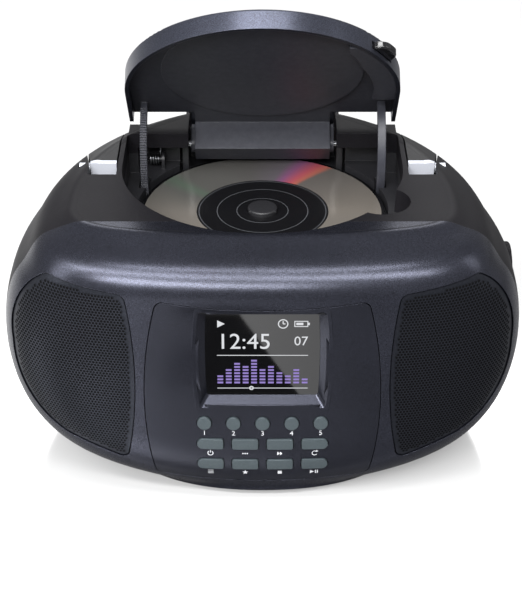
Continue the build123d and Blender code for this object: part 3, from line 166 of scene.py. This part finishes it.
# Moulded and painted finishes: colour, its paler fleck, gloss and the grain of the mould
mouldings = {
    "frontPaint": dict(colour=tone(40, 41, 48), fleck=tone(70, 72, 84), fleckSize=0.45, metal=0.8, rough=0.27,
                       grain=0.35, grainDepth=0.006, coat=0.0, edge=0.4),
    "lidPaint": dict(colour=tone(52, 54, 62), fleck=tone(86, 89, 104), fleckSize=0.45, metal=0.8, rough=0.3,
                     grain=0.35, grainDepth=0.005, coat=0.0, edge=0.5),
    "rearPlastic": dict(colour=tone(15, 14, 17), fleck=tone(24, 23, 27), fleckSize=0.8, metal=0.0, rough=0.5,
                        grain=0.7, grainDepth=0.05, coat=0.0, edge=0.4, shine=0.14),
    "handlePlastic": dict(colour=tone(15, 15, 17), fleck=tone(24, 24, 27), fleckSize=0.8, metal=0.0, rough=0.42,
                          grain=0.5, grainDepth=0.02, coat=0.0, edge=0.5, shine=0.3),
    "lidInside": dict(colour=tone(52, 53, 60), fleck=tone(62, 63, 70), fleckSize=3.0, metal=0.0, rough=0.4,
                      grain=1.2, grainDepth=0.006, coat=0.0, edge=0.7),
    "wellPlastic": dict(colour=tone(28, 28, 31), fleck=tone(38, 38, 41), fleckSize=1.2, metal=0.0, rough=0.42,
                        grain=0.6, grainDepth=0.01, coat=0.0, edge=0.3),
    "panelPaint": dict(colour=tone(36, 37, 44), fleck=tone(58, 60, 71), fleckSize=0.4, metal=0.8, rough=0.25,
                       grain=0.4, grainDepth=0.003, coat=0.1, edge=0.3),
    "keyPlastic": dict(colour=tone(68, 77, 81), fleck=tone(82, 91, 95), fleckSize=0.5, metal=0.3, rough=0.36,
                       grain=0.3, grainDepth=0.004, coat=0.0, edge=0.35),
    "tabPlastic": dict(colour=tone(16, 16, 18), fleck=tone(22, 22, 25), fleckSize=1.5, metal=0.0, rough=0.12,
                       grain=1.5, grainDepth=0.002, coat=0.3, edge=0.5),
    "innerPlastic": dict(colour=tone(30, 30, 32), fleck=tone(38, 38, 41), fleckSize=0.9, metal=0.0, rough=0.4,
                         grain=0.6, grainDepth=0.008, coat=0.0, edge=0.2),
    "footRubber": dict(colour=tone(26, 26, 27), fleck=tone(36, 36, 37), fleckSize=0.6, metal=0.0, rough=0.78,
                       grain=0.4, grainDepth=0.03, coat=0.0, edge=0.3),
    "conePaper": dict(colour=tone(34, 33, 32), fleck=tone(52, 50, 48), fleckSize=0.7, metal=0.0, rough=0.85,
                      grain=0.4, grainDepth=0.04, coat=0.0, edge=0.0),
    "boardResin": dict(colour=tone(22, 62, 40), fleck=tone(30, 80, 50), fleckSize=2.5, metal=0.0, rough=0.35,
                       grain=0.5, grainDepth=0.006, coat=0.1, edge=0.0),
    # handle ends: a pale metal whose tone is lifted towards white, partly its own colour and partly a painted
    # highlight
    "endMetalWithPaintedHighlight": dict(colour=tone(204, 207, 216), fleck=tone(214, 217, 226), fleckSize=0.6, metal=0.35, rough=0.36,
                     grain=0.4, grainDepth=0.004, coat=0.0, edge=0.3),
    "grilleMetal": dict(colour=tone(38, 40, 46), fleck=tone(50, 52, 60), fleckSize=0.9, metal=0.8, rough=0.34,
                        grain=0.5, grainDepth=0.004, coat=0.0, edge=0.0),
}

mouldWear = dict(fleckGain=2.2, fleckBias=0.35, cloudScale=22.0, cloudGain=0.5, smoothScale=60.0, grainRough=0.08,
                 smoothRough=0.06, coatRough=0.15, plainShine=0.4, bump=0.8)


def moulded(name, look):
    material, graph = startMaterial(name)
    place = graph.place()
    fleck = graph.noise(place, 1 / (look["fleckSize"] * mm), 2.0, 0.6)
    cloud = graph.noise(place, mouldWear["cloudScale"], 3.0, 0.5)
    share = (fleck - 0.5) * mouldWear["fleckGain"] + mouldWear["fleckBias"] + (cloud - 0.5) * mouldWear["cloudGain"]
    grain = graph.noise(place, 1 / (look["grain"] * mm), 3.0, 0.65)
    smooth = graph.noise(place, mouldWear["smoothScale"], 2.0, 0.5)
    rough = look["rough"] + (grain - 0.5) * mouldWear["grainRough"] + (smooth - 0.5) * mouldWear["smoothRough"]
    values = {"Base Color": graph.mix(share.clamped(), look["colour"], look["fleck"]), "Roughness": rough,
              "Metallic": look["metal"], "Coat Weight": look["coat"], "Coat Roughness": mouldWear["coatRough"],
              "Specular IOR Level": look.get("shine", mouldWear["plainShine"])}
    edge = graph.rounded(look["edge"] * mm) if look["edge"] else None
    values["Normal"] = graph.bump(grain, look["grainDepth"] * mm, mouldWear["bump"], edge)
    endMaterial(graph, graph.add("ShaderNodeBsdfPrincipled", None, values))
    return material


# Bare metals: colour, gloss and the length of the drawn lines
metals = {
    "brightMetal": dict(colour=tone(168, 172, 184), rough=0.3, line=0.35),
    "steel": dict(colour=tone(150, 152, 156), rough=0.3, line=0.5),
    "brassMetal": dict(colour=tone(196, 168, 104), rough=0.28, line=0.5),
}

metalWear = dict(stretch=(0.08, 1.0, 1.0), smearScale=70.0, lineShare=0.6, smearShare=0.4, darker=0.8,
                 smearRough=0.16, lineRough=0.08, lineDepth=0.003, edge=0.2, bump=0.6)


def metallic(name, look):
    material, graph = startMaterial(name)
    place = graph.place()
    drawn = graph.add("ShaderNodeMapping", None, {"Vector": place, "Scale": metalWear["stretch"]})
    line = graph.noise(drawn, 1 / (look["line"] * mm), 3.0, 0.6)
    smear = graph.noise(place, metalWear["smearScale"], 3.0, 0.55)
    dark = [part * metalWear["darker"] for part in look["colour"][:3]] + [1.0]
    share = (line * metalWear["lineShare"] + smear * metalWear["smearShare"]).clamped()
    rough = look["rough"] + (smear - 0.5) * metalWear["smearRough"] + (line - 0.5) * metalWear["lineRough"]
    values = {"Base Color": graph.mix(share, dark, look["colour"]), "Roughness": rough, "Metallic": 1.0}
    edge = graph.rounded(metalWear["edge"] * mm)
    values["Normal"] = graph.bump(line, metalWear["lineDepth"] * mm, metalWear["bump"], edge)
    endMaterial(graph, graph.add("ShaderNodeBsdfPrincipled", None, values))
    return material


finishes = {name: moulded(name, look) for name, look in mouldings.items()}
finishes.update({name: metallic(name, look) for name, look in metals.items()})


# The disc: printed middle with fine rings, then the mirror with its pitch of tracks, coloured round its turn with a
# painted reflection of rainbow wedges and lighter and darker sectors
disc = dict(printRadius=32.4, ringRadii=(12.6, 22.3, 31.2), ringWidth=0.35, ringSoft=0.12, ringShare=0.8,
            mirrorRough=0.2, mirrorMetal=0.4, printMetal=0.25, printRough=0.12, mirrorShare=0.35, trackPitch=1.1,
            trackDepth=0.0015, clearOuter=58.4, clearInner=10.5, leanRadius=46.0, leanRate=0.0006, smearScale=45.0,
            smearRough=0.08,
            dark=tone(14, 14, 16), print=tone(92, 94, 98), mirror=tone(128, 125, 122),
            # painted reflection: the rainbow of the tracks and the lighter and darker sectors, set by the turn
            # round the disc
            sweep=[(0.0, tone(118, 110, 100)), (0.10, tone(96, 90, 84)), (0.150, tone(84, 80, 76)),
                   (0.158, tone(206, 96, 66)), (0.172, tone(208, 58, 84)), (0.196, tone(140, 58, 128)),
                   (0.215, tone(84, 76, 90)), (0.27, tone(66, 65, 64)), (0.385, tone(70, 72, 68)),
                   (0.405, tone(62, 92, 72)), (0.43, tone(74, 76, 72)), (0.50, tone(112, 106, 98)),
                   (0.60, tone(128, 120, 110)), (0.78, tone(104, 92, 98)), (0.90, tone(112, 106, 98)),
                   (1.0, tone(118, 110, 100))])


def discMaterial():
    material, graph = startMaterial("discFace")
    place = graph.place()
    x, y, z = graph.parts(place)
    radius = (x * x + y * y).root() / mm
    turn = graph.add("ShaderNodeMath", {"operation": "ARCTAN2"}, {0: y, 1: x}) / (2 * pi)
    turn = turn + turn.below(0.0)
    lean = turn + (radius - disc["leanRadius"]) * disc["leanRate"]     # the wedges of the painted reflection lean from centre to rim
    paintedReflection = graph.add("ShaderNodeValToRGB", {"stops": disc["sweep"]}, {0: lean})
    mirror = graph.mix(disc["mirrorShare"], paintedReflection, disc["mirror"])
    printed = radius.below(disc["printRadius"])
    rings, reach = 0.0, disc["ringWidth"] / 2
    for ringRadius in disc["ringRadii"]:
        rings = rings + radius.band(ringRadius - reach, ringRadius + reach, disc["ringSoft"])
    smear = graph.noise(place, disc["smearScale"], 3.0, 0.5)
    dark = graph.mix((rings * disc["ringShare"]).clamped(), disc["dark"], disc["print"])
    tracks = graph.add("ShaderNodeMath", {"operation": "SINE"}, {0: radius * (2 * pi / disc["trackPitch"])})
    clear = radius.above(disc["clearOuter"]) + radius.below(disc["clearInner"])
    colour = graph.mix((printed + clear).clamped(), mirror, dark)
    rough = disc["mirrorRough"] + printed * disc["printRough"] + (smear - 0.5) * disc["smearRough"]
    values = {"Base Color": colour, "Metallic": disc["mirrorMetal"] - printed * disc["printMetal"],
              "Roughness": rough, "Normal": graph.bump(tracks, disc["trackDepth"] * mm, 0.5)}
    endMaterial(graph, graph.add("ShaderNodeBsdfPrincipled", None, values))
    return material


# The two glasses: the pickup's clear lens and the dark window of the display, with the smears of a wiped pane
glass = dict(smearScale=90.0, smearRough=0.02, tint=tone(150, 160, 200), tintShare=0.3, darker=0.9, lensIor=1.49,
             dark=tone(2, 2, 3), darkSmear=tone(6, 6, 8), windowRough=0.03, windowIor=2.1)


def lensMaterial():
    material, graph = startMaterial("lensGlass")
    smear = graph.noise(graph.place(), glass["smearScale"], 3.0, 0.5)
    dim = [part * glass["darker"] for part in glass["tint"][:3]] + [1.0]
    values = {"Base Color": graph.mix(smear * glass["tintShare"], glass["tint"], dim),
              "Roughness": smear * glass["smearRough"], "IOR": glass["lensIor"], "Transmission Weight": 1.0}
    endMaterial(graph, graph.add("ShaderNodeBsdfPrincipled", None, values))
    return material


def darkGlassMaterial():
    material, graph = startMaterial("screenGlass")
    smear = graph.noise(graph.place(), glass["smearScale"], 3.0, 0.5)
    values = {"Base Color": graph.mix(smear, glass["dark"], glass["darkSmear"]),
              "Roughness": glass["windowRough"] + smear * glass["smearRough"], "IOR": glass["windowIor"]}
    endMaterial(graph, graph.add("ShaderNodeBsdfPrincipled", None, values))
    return material


def lampMaterial(name, colour, strength):
    # a lit patch of the display, a little uneven as a backlight is
    material, graph = startMaterial(name)
    glow = graph.noise(graph.place(), 60.0, 2.0, 0.5)
    dim = [part * 0.8 for part in colour[:3]] + [1.0]
    values = {"Base Color": tone(4, 4, 5), "Roughness": 0.6, "Specular IOR Level": 0.0,
              "Emission Color": graph.mix(glow, dim, colour), "Emission Strength": strength}
    endMaterial(graph, graph.add("ShaderNodeBsdfPrincipled", None, values))
    return material


def printMaterial():
    material, graph = startMaterial("panelPrint")
    grain = graph.noise(graph.place(), 3000.0, 2.0, 0.6)
    values = {"Base Color": graph.mix(grain, tone(206, 208, 212), tone(232, 233, 236)),
              "Roughness": 0.5 + grain * 0.1}
    endMaterial(graph, graph.add("ShaderNodeBsdfPrincipled", None, values))
    return material


# painted shade: near-black with a fine grain, for the sheet seen through the grille holes and for the dark card
def holeMaterial():
    material, graph = startMaterial("paintedShadeBlack")
    grain = graph.noise(graph.place(), 1200.0, 2.0, 0.6)
    values = {"Base Color": graph.mix(grain, tone(4, 4, 5), tone(12, 12, 14)), "Roughness": 0.8 + grain * 0.1,
              "Specular IOR Level": 0.1}
    endMaterial(graph, graph.add("ShaderNodeBsdfPrincipled", None, values))
    return material


finishes["discFace"] = discMaterial()
finishes["screenGlass"] = darkGlassMaterial()
finishes["lensGlass"] = lensMaterial()
finishes["screenLight"] = lampMaterial("screenLight", tone(236, 238, 242), 1.0)
finishes["screenAccent"] = lampMaterial("screenAccent", tone(160, 140, 214), 1.0)
finishes["panelPrint"] = printMaterial()
finishes["paintedShadeBlack"] = holeMaterial()
print("finishes made:", len(finishes))

# Which finish each record slot has, and the nodes that differ from their slot
slotFinishes = {"front_plastic": "frontPaint", "rear_plastic": "rearPlastic", "lid_plastic": "lidPaint",
                "well_plastic": "wellPlastic", "panel_plastic": "panelPaint", "grille_metal": "grilleMetal",
                "screen_glass": "screenGlass", "key_plastic": "keyPlastic", "tab_plastic": "tabPlastic",
                "disc_face": "discFace", "bright_metal": "brightMetal", "steel": "steel",
                "brass_metal": "brassMetal", "cone_paper": "conePaper", "board_resin": "boardResin",
                "inner_plastic": "innerPlastic", "foot_rubber": "footRubber", "lens_glass": "lensGlass"}
nodeFinishes = {"lid_liner": "lidInside", "latch_cover": "lidInside", "handle": "handlePlastic",
                "handle_ends": "endMetalWithPaintedHighlight", "display_module": "innerPlastic"}
for name, piece in nodes.items():
    for place in piece.material_slots:
        place.material = finishes[nodeFinishes.get(name) or slotFinishes[place.material.name]]
print("nodes finished")


# Meshes

def meshPiece(name, mesh, finish, body):
    mesh.name = name
    piece = bpy.data.objects.new(name, mesh)
    bpy.context.scene.collection.objects.link(piece)
    piece.data.materials.clear()
    piece.data.materials.append(finishes[finish])
    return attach(piece, body)


def surfaceOf(node):
    mesh = nodes[node].data
    return BVHTree.FromPolygons([vertex.co for vertex in mesh.vertices], [face.vertices for face in mesh.polygons])


forward = Vector((0, 1, 0))
rayStart = -0.3


def frontAt(surface, x, z):
    # the place on a front surface that is seen at x, z
    return surface.ray_cast(Vector((x, rayStart, z)), forward)


# Perforated sheets of the speaker grilles, each over a holeless sheet of painted shade that makes the holes black;
# facing is how far a place must face the front to carry a hole
perforation = dict(pitch=1.5, hole=0.58, sides=12, standoff=0.26, shadeLift=0.04, margin=1.9, around=8, facing=0.35,
                   startY=-0.2)


def cellMesh(name, ringed):
    # one six-sided cell of the sheet, seen from the front, with or without its round hole
    outer, inner = [], []
    reach = perforation["pitch"] / sqrt(3) * mm
    for step in range(perforation["sides"]):
        angle = 2 * pi * step / perforation["sides"] + pi / 2
        side = reach if step % 2 == 0 else reach * cos(pi / 6)
        outer.append((side * cos(angle), 0, side * sin(angle)))
        inner.append((perforation["hole"] * mm * cos(angle), 0, perforation["hole"] * mm * sin(angle)))
    count = len(outer)
    mesh = bpy.data.meshes.new(name)
    if ringed:
        faces = [(step, (step + 1) % count, (step + 1) % count + count, step + count) for step in range(count)]
        mesh.from_pydata(outer + inner, [], faces)
    else:
        mesh.from_pydata(outer, [], [tuple(range(count))])
    mesh.update()
    if mesh.polygons[0].normal.y > 0:
        mesh.flip_normals()
    return bpy.data.objects.new(name, mesh)


def sheetTree():
    tree = bpy.data.node_groups.new("perforatedSheet", "GeometryNodeTree")
    for name, kind in (("Geometry", "NodeSocketGeometry"), ("Cell", "NodeSocketObject"),
                       ("Grille", "NodeSocketObject"), ("Standoff", "NodeSocketFloat"),
                       ("Finish", "NodeSocketMaterial")):
        tree.interface.new_socket(name, in_out="INPUT", socket_type=kind)
    tree.interface.new_socket("Geometry", in_out="OUTPUT", socket_type="NodeSocketGeometry")
    graph = Graph(tree)
    points = graph.add("NodeGroupInput")
    cell, grille, standoff, finish = (graph.other(step) for step in range(1, 5))
    cellGeometry = graph.add("GeometryNodeObjectInfo", None, {"Object": cell}, out="Geometry")
    grilleGeometry = graph.add("GeometryNodeObjectInfo", None, {"Object": grille}, out="Geometry")
    copies = graph.add("GeometryNodeInstanceOnPoints", None, {"Points": points, "Instance": cellGeometry})
    sheet = graph.add("GeometryNodeRealizeInstances", None, {"Geometry": copies})
    place = graph.add("GeometryNodeInputPosition")
    hit = graph.add("GeometryNodeRaycast", None,
                    {"Target Geometry": grilleGeometry, "Source Position": place, "Ray Direction": (0, 1, 0),
                     "Ray Length": 1.0}, out="Is Hit")
    hitPlace, hitNormal = graph.other("Hit Position"), graph.other("Hit Normal")
    lift = graph.add("ShaderNodeVectorMath", {"operation": "SCALE"}, {0: hitNormal, "Scale": standoff})
    front = graph.add("ShaderNodeVectorMath", {"operation": "ADD"}, {0: hitPlace, 1: lift})
    laid = graph.add("GeometryNodeSetPosition", None, {"Geometry": sheet, "Selection": hit, "Position": front})
    done = graph.add("GeometryNodeSetMaterial", None, {"Geometry": laid, "Material": finish})
    graph.add("NodeGroupOutput", None, {0: done})
    return tree


def inputName(tree, name):
    return next(item.identifier for item in tree.interface.items_tree
                if item.name == name and item.in_out == "INPUT")


def lattice(node):
    # the hole places of one grille, kept where a hole and its margin are inside the outline
    surface = surfaceOf(node)
    low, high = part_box(node)
    pitch = perforation["pitch"] * mm
    rise = pitch * sqrt(3) / 2
    reach = perforation["margin"] * mm
    turns = [2 * pi * step / perforation["around"] for step in range(perforation["around"])]
    around = [(reach * cos(turn), reach * sin(turn)) for turn in turns]
    places = []
    for row in range(ceil((high.z - low.z) / rise)):
        for column in range(ceil((high.x - low.x) / pitch) + 1):
            x = low.x + (column + row % 2 / 2) * pitch
            z = low.z + row * rise
            hits = [frontAt(surface, x + stepX, z + stepZ) for stepX, stepZ in around]
            if all(hit[0] is not None and abs(hit[1].y) >= perforation["facing"] for hit in hits):
                places.append((x, perforation["startY"], z))
    return places


def perforate(side):
    node = side + "_grille"
    points = bpy.data.meshes.new("holePlaces")
    points.from_pydata(lattice(node), [], [])
    for name, cell, standoff, finish in ((side + "_grille_sheet", ringCell, perforation["standoff"], "grilleMetal"),
                                         # the holeless sheet just above the grille is painted shade, black in the
                                         # holes
                                         (side + "_grille_dark", fullCell, perforation["shadeLift"], "paintedShadeBlack")):
        host = bpy.data.objects.new(name + "_host", points)
        bpy.context.scene.collection.objects.link(host)
        modifier = host.modifiers.new("sheet", "NODES")
        modifier.node_group = perforatedTree
        for label, value in (("Cell", cell), ("Grille", nodes[node]), ("Standoff", standoff * mm),
                             ("Finish", finishes[finish])):
            modifier[inputName(perforatedTree, label)] = value
        shown = host.evaluated_get(bpy.context.evaluated_depsgraph_get())
        mesh = bpy.data.meshes.new_from_object(shown)
        host.modifiers.remove(modifier)
        bpy.data.objects.remove(host)
        meshPiece(name, mesh, finish, "housing")
        print(name, len(points.vertices), "holes,", len(mesh.polygons), "faces")


ringCell, fullCell = cellMesh("ringCell", True), cellMesh("fullCell", False)
for cell in (ringCell, fullCell):
    bpy.context.scene.collection.objects.link(cell)
perforatedTree = sheetTree()
for side in ("left", "right"):
    perforate(side)
for cell in (ringCell, fullCell):
    bpy.data.objects.remove(cell)


# Flat drawing for print and display: shapes in the plane of a face, u to the right and v up

class Drawing:
    def __init__(self):
        self.places = []
        self.faces = []

    def add(self, places, faces, u=0.0, v=0.0, size=1.0):
        start = len(self.places)
        self.places += [(u + size * a, v + size * b) for a, b in places]
        self.faces += [tuple(start + corner for corner in face) for face in faces]

    def patch(self, outline, u=0.0, v=0.0, size=1.0):
        self.add(outline, [tuple(range(len(outline)))], u, v, size)

    def bar(self, low, high, u=0.0, v=0.0, size=1.0):
        self.patch([low, (high[0], low[1]), high, (low[0], high[1])], u, v, size)

    def arc(self, radius, width, start, end, u=0.0, v=0.0, size=1.0):
        steps = max(4, ceil(abs(end - start) / 12))
        inner, outer = radius - width / 2, radius + width / 2
        turns = [radians(start + (end - start) * step / steps) for step in range(steps + 1)]
        places = [(outer * cos(turn), outer * sin(turn)) for turn in turns]
        places += [(inner * cos(turn), inner * sin(turn)) for turn in turns]
        faces = [(step, step + 1, step + steps + 2, step + steps + 1) for step in range(steps)]
        self.add(places, faces, u, v, size)

    def text(self, words, height, u=0.0, v=0.0, align="CENTER"):
        curve = bpy.data.curves.new("figures", "FONT")
        curve.body, curve.size, curve.align_x, curve.align_y = words, height, align, "CENTER"
        curve.resolution_u = 4
        holder = bpy.data.objects.new("figures", curve)
        bpy.context.scene.collection.objects.link(holder)
        mesh = bpy.data.meshes.new_from_object(holder.evaluated_get(bpy.context.evaluated_depsgraph_get()))
        self.add([(vertex.co.x, vertex.co.y) for vertex in mesh.vertices],
                 [tuple(face.vertices) for face in mesh.polygons], u, v)
        bpy.data.objects.remove(holder)

    def mesh(self, name, place):
        # place puts a point of the drawing into the frame, facing the front
        mesh = bpy.data.meshes.new(name)
        mesh.from_pydata([place(u, v) for u, v in self.places], [], self.faces)
        mesh.update()
        shape = bmesh.new()
        shape.from_mesh(mesh)
        for face in shape.faces:
            face.normal_update()
            if face.normal.y > 0:
                face.normal_flip()
        shape.to_mesh(mesh)
        shape.free()
        return mesh


# Symbols of about one unit across: power, mode, scan, repeat, list, star, stop, play and pause

def drawPower(sheet, u, v, size):
    sheet.arc(0.42, 0.13, 125, 415, u, v, size)
    sheet.bar((-0.065, 0.08), (0.065, 0.58), u, v, size)


def drawMode(sheet, u, v, size):
    for step in (-1, 0, 1):
        sheet.arc(0.065, 0.13, 0, 360, u + step * 0.36 * size, v, size)


def drawScan(sheet, u, v, size):
    for shift in (-0.42, 0.02):
        sheet.patch([(shift, -0.36), (shift + 0.42, 0), (shift, 0.36)], u, v, size)


def drawRepeat(sheet, u, v, size):
    sheet.arc(0.4, 0.12, 60, 330, u, v, size)
    sheet.patch([(0.14, 0.2), (0.62, 0.3), (0.3, 0.62)], u, v, size)


def drawList(sheet, u, v, size):
    for step in (-0.32, 0, 0.32):
        sheet.bar((-0.45, step - 0.06), (0.45, step + 0.06), u, v, size)


def drawStar(sheet, u, v, size):
    corners = []
    for step in range(10):
        reach = 0.52 if step % 2 == 0 else 0.22
        corners.append((reach * sin(pi * step / 5), reach * cos(pi * step / 5)))
    faces = [(10, step, (step + 1) % 10) for step in range(10)]
    sheet.add(corners + [(0, 0)], faces, u, v, size)


def drawStop(sheet, u, v, size):
    sheet.bar((-0.34, -0.34), (0.34, 0.34), u, v, size)


def drawPlay(sheet, u, v, size):
    sheet.patch([(-0.7, -0.38), (-0.02, 0), (-0.7, 0.38)], u, v, size)
    for low in (0.12, 0.44):
        sheet.bar((low, -0.38), (low + 0.18, 0.38), u, v, size)


# Print on the control panel, below its buttons
panelLabels = dict(presetX=(-26.6, -13.3, 0.0, 13.3, 26.6), numberV=37.2, numberHeight=3.4, keyX=(-24, -8, 8, 24),
                   symbolV=(26.5, 15.6), symbolSize=2.8, lift=0.05)
panelSheet = Drawing()
for number, x in enumerate(panelLabels["presetX"], 1):
    panelSheet.text(str(number), panelLabels["numberHeight"] * mm, x * mm, panelLabels["numberV"] * mm)
for v, symbols in zip(panelLabels["symbolV"], ((drawPower, drawMode, drawScan, drawRepeat),
                                               (drawList, drawStar, drawStop, drawPlay))):
    for x, draw in zip(panelLabels["keyX"], symbols):
        draw(panelSheet, x * mm, v * mm, panelLabels["symbolSize"] * mm)
panelSurface = surfaceOf("control_panel")


def onPanel(u, v):
    hit = frontAt(panelSurface, u, v)
    return hit[0] + hit[1] * panelLabels["lift"] * mm


meshPiece("panel_print", panelSheet.mesh("panel_print", onPanel), "panelPrint", "housing")
print("panel print:", len(panelSheet.faces), "faces")

# What the display shows: a clock, a level meter, a play sign and a battery, on the face of its window
display = dict(middle=(0.0, -98.18, 74.5), tilt=5.34, depth=4.16, rise=1.4,
               levels=(3, 5, 7, 6, 8, 5, 6, 4, 3, 5, 2), columnStep=3.82, rowStep=1.6, cell=(2.6, 0.9),
               meterCorner=(-20.4, -14.8))
displayUp = Vector((0, sin(radians(display["tilt"])), cos(radians(display["tilt"]))))
displayIn = Vector((0, cos(radians(display["tilt"])), -sin(radians(display["tilt"]))))


def onDisplay(depth):
    corner = Vector(display["middle"]) + displayUp * display["rise"] + displayIn * depth
    return lambda u, v: (corner + Vector((u, 0, 0)) + displayUp * v) * mm


lit = Drawing()
lit.text("12:45", 11.0, -20.5, 6.2, "LEFT")
lit.text("07", 6.4, 20.5, 6.6, "RIGHT")
lit.arc(2.1, 0.5, 0, 360, 9.2, 15.4)
lit.bar((-0.25, 0), (0.25, 1.4), 9.2, 15.4)
lit.bar((0, -0.25), (1.0, 0.25), 9.2, 15.4)
for low, high in (((14.2, 13.9), (20.4, 14.3)), ((14.2, 16.5), (20.4, 16.9)), ((14.2, 13.9), (14.6, 16.9)),
                  ((20.0, 13.9), (20.4, 16.9)), ((20.4, 14.8), (21.1, 16.0)), ((15.1, 14.8), (18.2, 16.0))):
    lit.bar(low, high)
lit.patch([(-20.2, 13.6), (-16.8, 15.4), (-20.2, 17.2)])
lit.bar((-20.5, -0.6), (20.5, -0.25))
lit.bar((-20.5, -17.4), (20.5, -17.05))
lit.arc(0.8, 0.5, 0, 360, -5.0, -17.2)
accent = Drawing()
for column, level in enumerate(display["levels"]):
    for step in range(level):
        accent.bar((0, 0), display["cell"], display["meterCorner"][0] + column * display["columnStep"],
                   display["meterCorner"][1] + step * display["rowStep"])
for name, sheet, finish in (("display_figures", lit, "screenLight"), ("display_levels", accent, "screenAccent")):
    meshPiece(name, sheet.mesh(name, onDisplay(display["depth"])), finish, "housing")
print("display drawn")

# Studio: pale floor, soft lamps and the camera of the photograph. In a mirror the floor is painted bright on the
# left, dim on the right and dim under the body, which is painted shade for the radio's right and lower sides; under
# the body the plain floor also carries the radio's real shadow.
studio = dict(floor=tone(110, 110, 112), floorSize=12.0, shownShare=0.5, gloss=0.36, glossRough=0.12, skyLight=0.26,
              skyGloss=0.3, brightGloss=1.0, paintedShadeGloss=0.1, dimFrom=-0.12, dimTo=0.09, nearFrom=0.10, nearTo=0.19)


def seenRays(graph, glossShare):
    # 1 where a surface is seen straight or through glass, glossShare where it is seen in a mirror
    camera = graph.add("ShaderNodeLightPath", out="Is Camera Ray")
    glossy, through = graph.other("Is Glossy Ray"), graph.other("Is Transmission Ray")
    return (camera + glossy * glossShare + through).clamped()


def floorMaterial():
    material, graph = startMaterial("paleFloor")
    x, y, z = graph.parts(graph.place())
    # painted shade: towards the right a mirror sees less of the white floor
    dim = ((x - studio["dimFrom"]) / (studio["dimTo"] - studio["dimFrom"])).clamped()
    # under the body a mirror sees only the plain grey floor: painted shade, together with the radio's real shadow
    # on it
    near = (((x * x + y * y).root() - studio["nearFrom"]) / (studio["nearTo"] - studio["nearFrom"])).clamped()
    seen = seenRays(graph, near * (studio["brightGloss"] + dim * (studio["paintedShadeGloss"] - studio["brightGloss"])))
    plain = graph.add("ShaderNodeBsdfDiffuse", None, {"Color": studio["floor"]})
    share = 1 - studio["shownShare"]
    soft = graph.add("ShaderNodeBsdfDiffuse", None, {"Color": (share, share, share, 1)})
    white = graph.add("ShaderNodeEmission", None, {"Color": (1, 1, 1, 1), "Strength": studio["shownShare"]})
    shown = graph.add("ShaderNodeAddShader", None, {0: soft, 1: white})
    gloss = graph.add("ShaderNodeBsdfGlossy", None, {"Color": (1, 1, 1, 1), "Roughness": studio["glossRough"]})
    polished = graph.add("ShaderNodeMixShader", None, {0: studio["gloss"], 1: shown, 2: gloss})
    endMaterial(graph, graph.add("ShaderNodeMixShader", None, {0: seen, 1: plain, 2: polished}))
    return material


def makeWorld():
    world = bpy.data.worlds.new("studio")
    world.use_nodes = True
    world.node_tree.nodes.clear()
    graph = Graph(world.node_tree)
    seen = seenRays(graph, studio["skyGloss"])
    sky = seen * (1 - studio["skyLight"]) + studio["skyLight"]      # white where it is seen, soft where it lights
    background = graph.add("ShaderNodeBackground", None, {"Color": (1, 1, 1, 1), "Strength": sky})
    graph.add("ShaderNodeOutputWorld", None, {"Surface": background})
    bpy.context.scene.world = world


floorMesh = bpy.data.meshes.new("floor")
half = studio["floorSize"] / 2
floorMesh.from_pydata([(-half, -half, 0), (half, -half, 0), (half, half, 0), (-half, half, 0)], [], [(0, 1, 2, 3)])
floor = bpy.data.objects.new("floor", floorMesh)
bpy.context.scene.collection.objects.link(floor)
floorMesh.materials.append(floorMaterial())
makeWorld()

# A dark card on the floor, seen only in the screen's glass: its edge crosses the reflection there
card = dict(low=(-0.075, -0.34), high=(-0.075, -0.215), edgeLow=(-0.0145, -0.34), edgeHigh=(0.0205, -0.215),
            lift=0.0005)
cardMesh = bpy.data.meshes.new("card")
corners = [card[corner] + (card["lift"],) for corner in ("low", "edgeLow", "edgeHigh", "high")]
cardMesh.from_pydata(corners, [], [(0, 1, 2, 3)])
cardPiece = bpy.data.objects.new("card", cardMesh)
bpy.context.scene.collection.objects.link(cardPiece)
cardMesh.materials.append(finishes["paintedShadeBlack"])
for ray in ("visible_camera", "visible_diffuse", "visible_shadow", "visible_transmission"):
    setattr(cardPiece, ray, False)

lamps = {
    "crestLamp": dict(place=(-0.1, -0.75, 1.3), aim=(0, -0.05, 0.1), size=(2.2, 0.3), power=30.0),
    "bandLamp": dict(place=(-0.5, -1.6, 1.3), aim=(0, -0.08, 0.1), size=(1.3, 0.4), power=40.0),
    "rimLamp": dict(place=(0.0, -0.3, 1.5), aim=(0, 0, 0.2), size=(1.0, 0.14), power=8.0),
    "leftLamp": dict(place=(-1.3, -0.55, 0.9), aim=(0, 0, 0.08), size=(0.5, 1.0), power=9.0),
    "rightLamp": dict(place=(1.3, -0.1, 0.8), aim=(0, 0, 0.08), size=(0.3, 0.7), power=2.0),
    "rearLamp": dict(place=(0.1, 1.2, 1.0), aim=(0, 0, 0.12), size=(1.2, 0.4), power=5.0),
}
for name, lamp in lamps.items():
    light = bpy.data.lights.new(name, "AREA")
    light.shape = "RECTANGLE"
    light.size, light.size_y = lamp["size"]
    light.energy = lamp["power"]
    holder = bpy.data.objects.new(name, light)
    bpy.context.scene.collection.objects.link(holder)
    holder.location = lamp["place"]
    holder.rotation_euler = (Vector(lamp["aim"]) - Vector(lamp["place"])).to_track_quat("-Z", "Y").to_euler()

view = dict(place=(0.0, -0.705, 0.476), pitch=31.3, lens=97.6, shiftX=-0.0025)
camera = bpy.data.objects.new("camera", bpy.data.cameras.new("camera"))
bpy.context.scene.collection.objects.link(camera)
camera.location = view["place"]
camera.rotation_euler = (radians(90 - view["pitch"]), 0, 0)
camera.data.lens = view["lens"]
camera.data.sensor_width = 36.0
camera.data.shift_x = view["shiftX"]
camera.data.clip_start = 0.01
bpy.context.scene.camera = camera
bpy.context.scene.view_settings.view_transform = "Standard"
print("studio set")
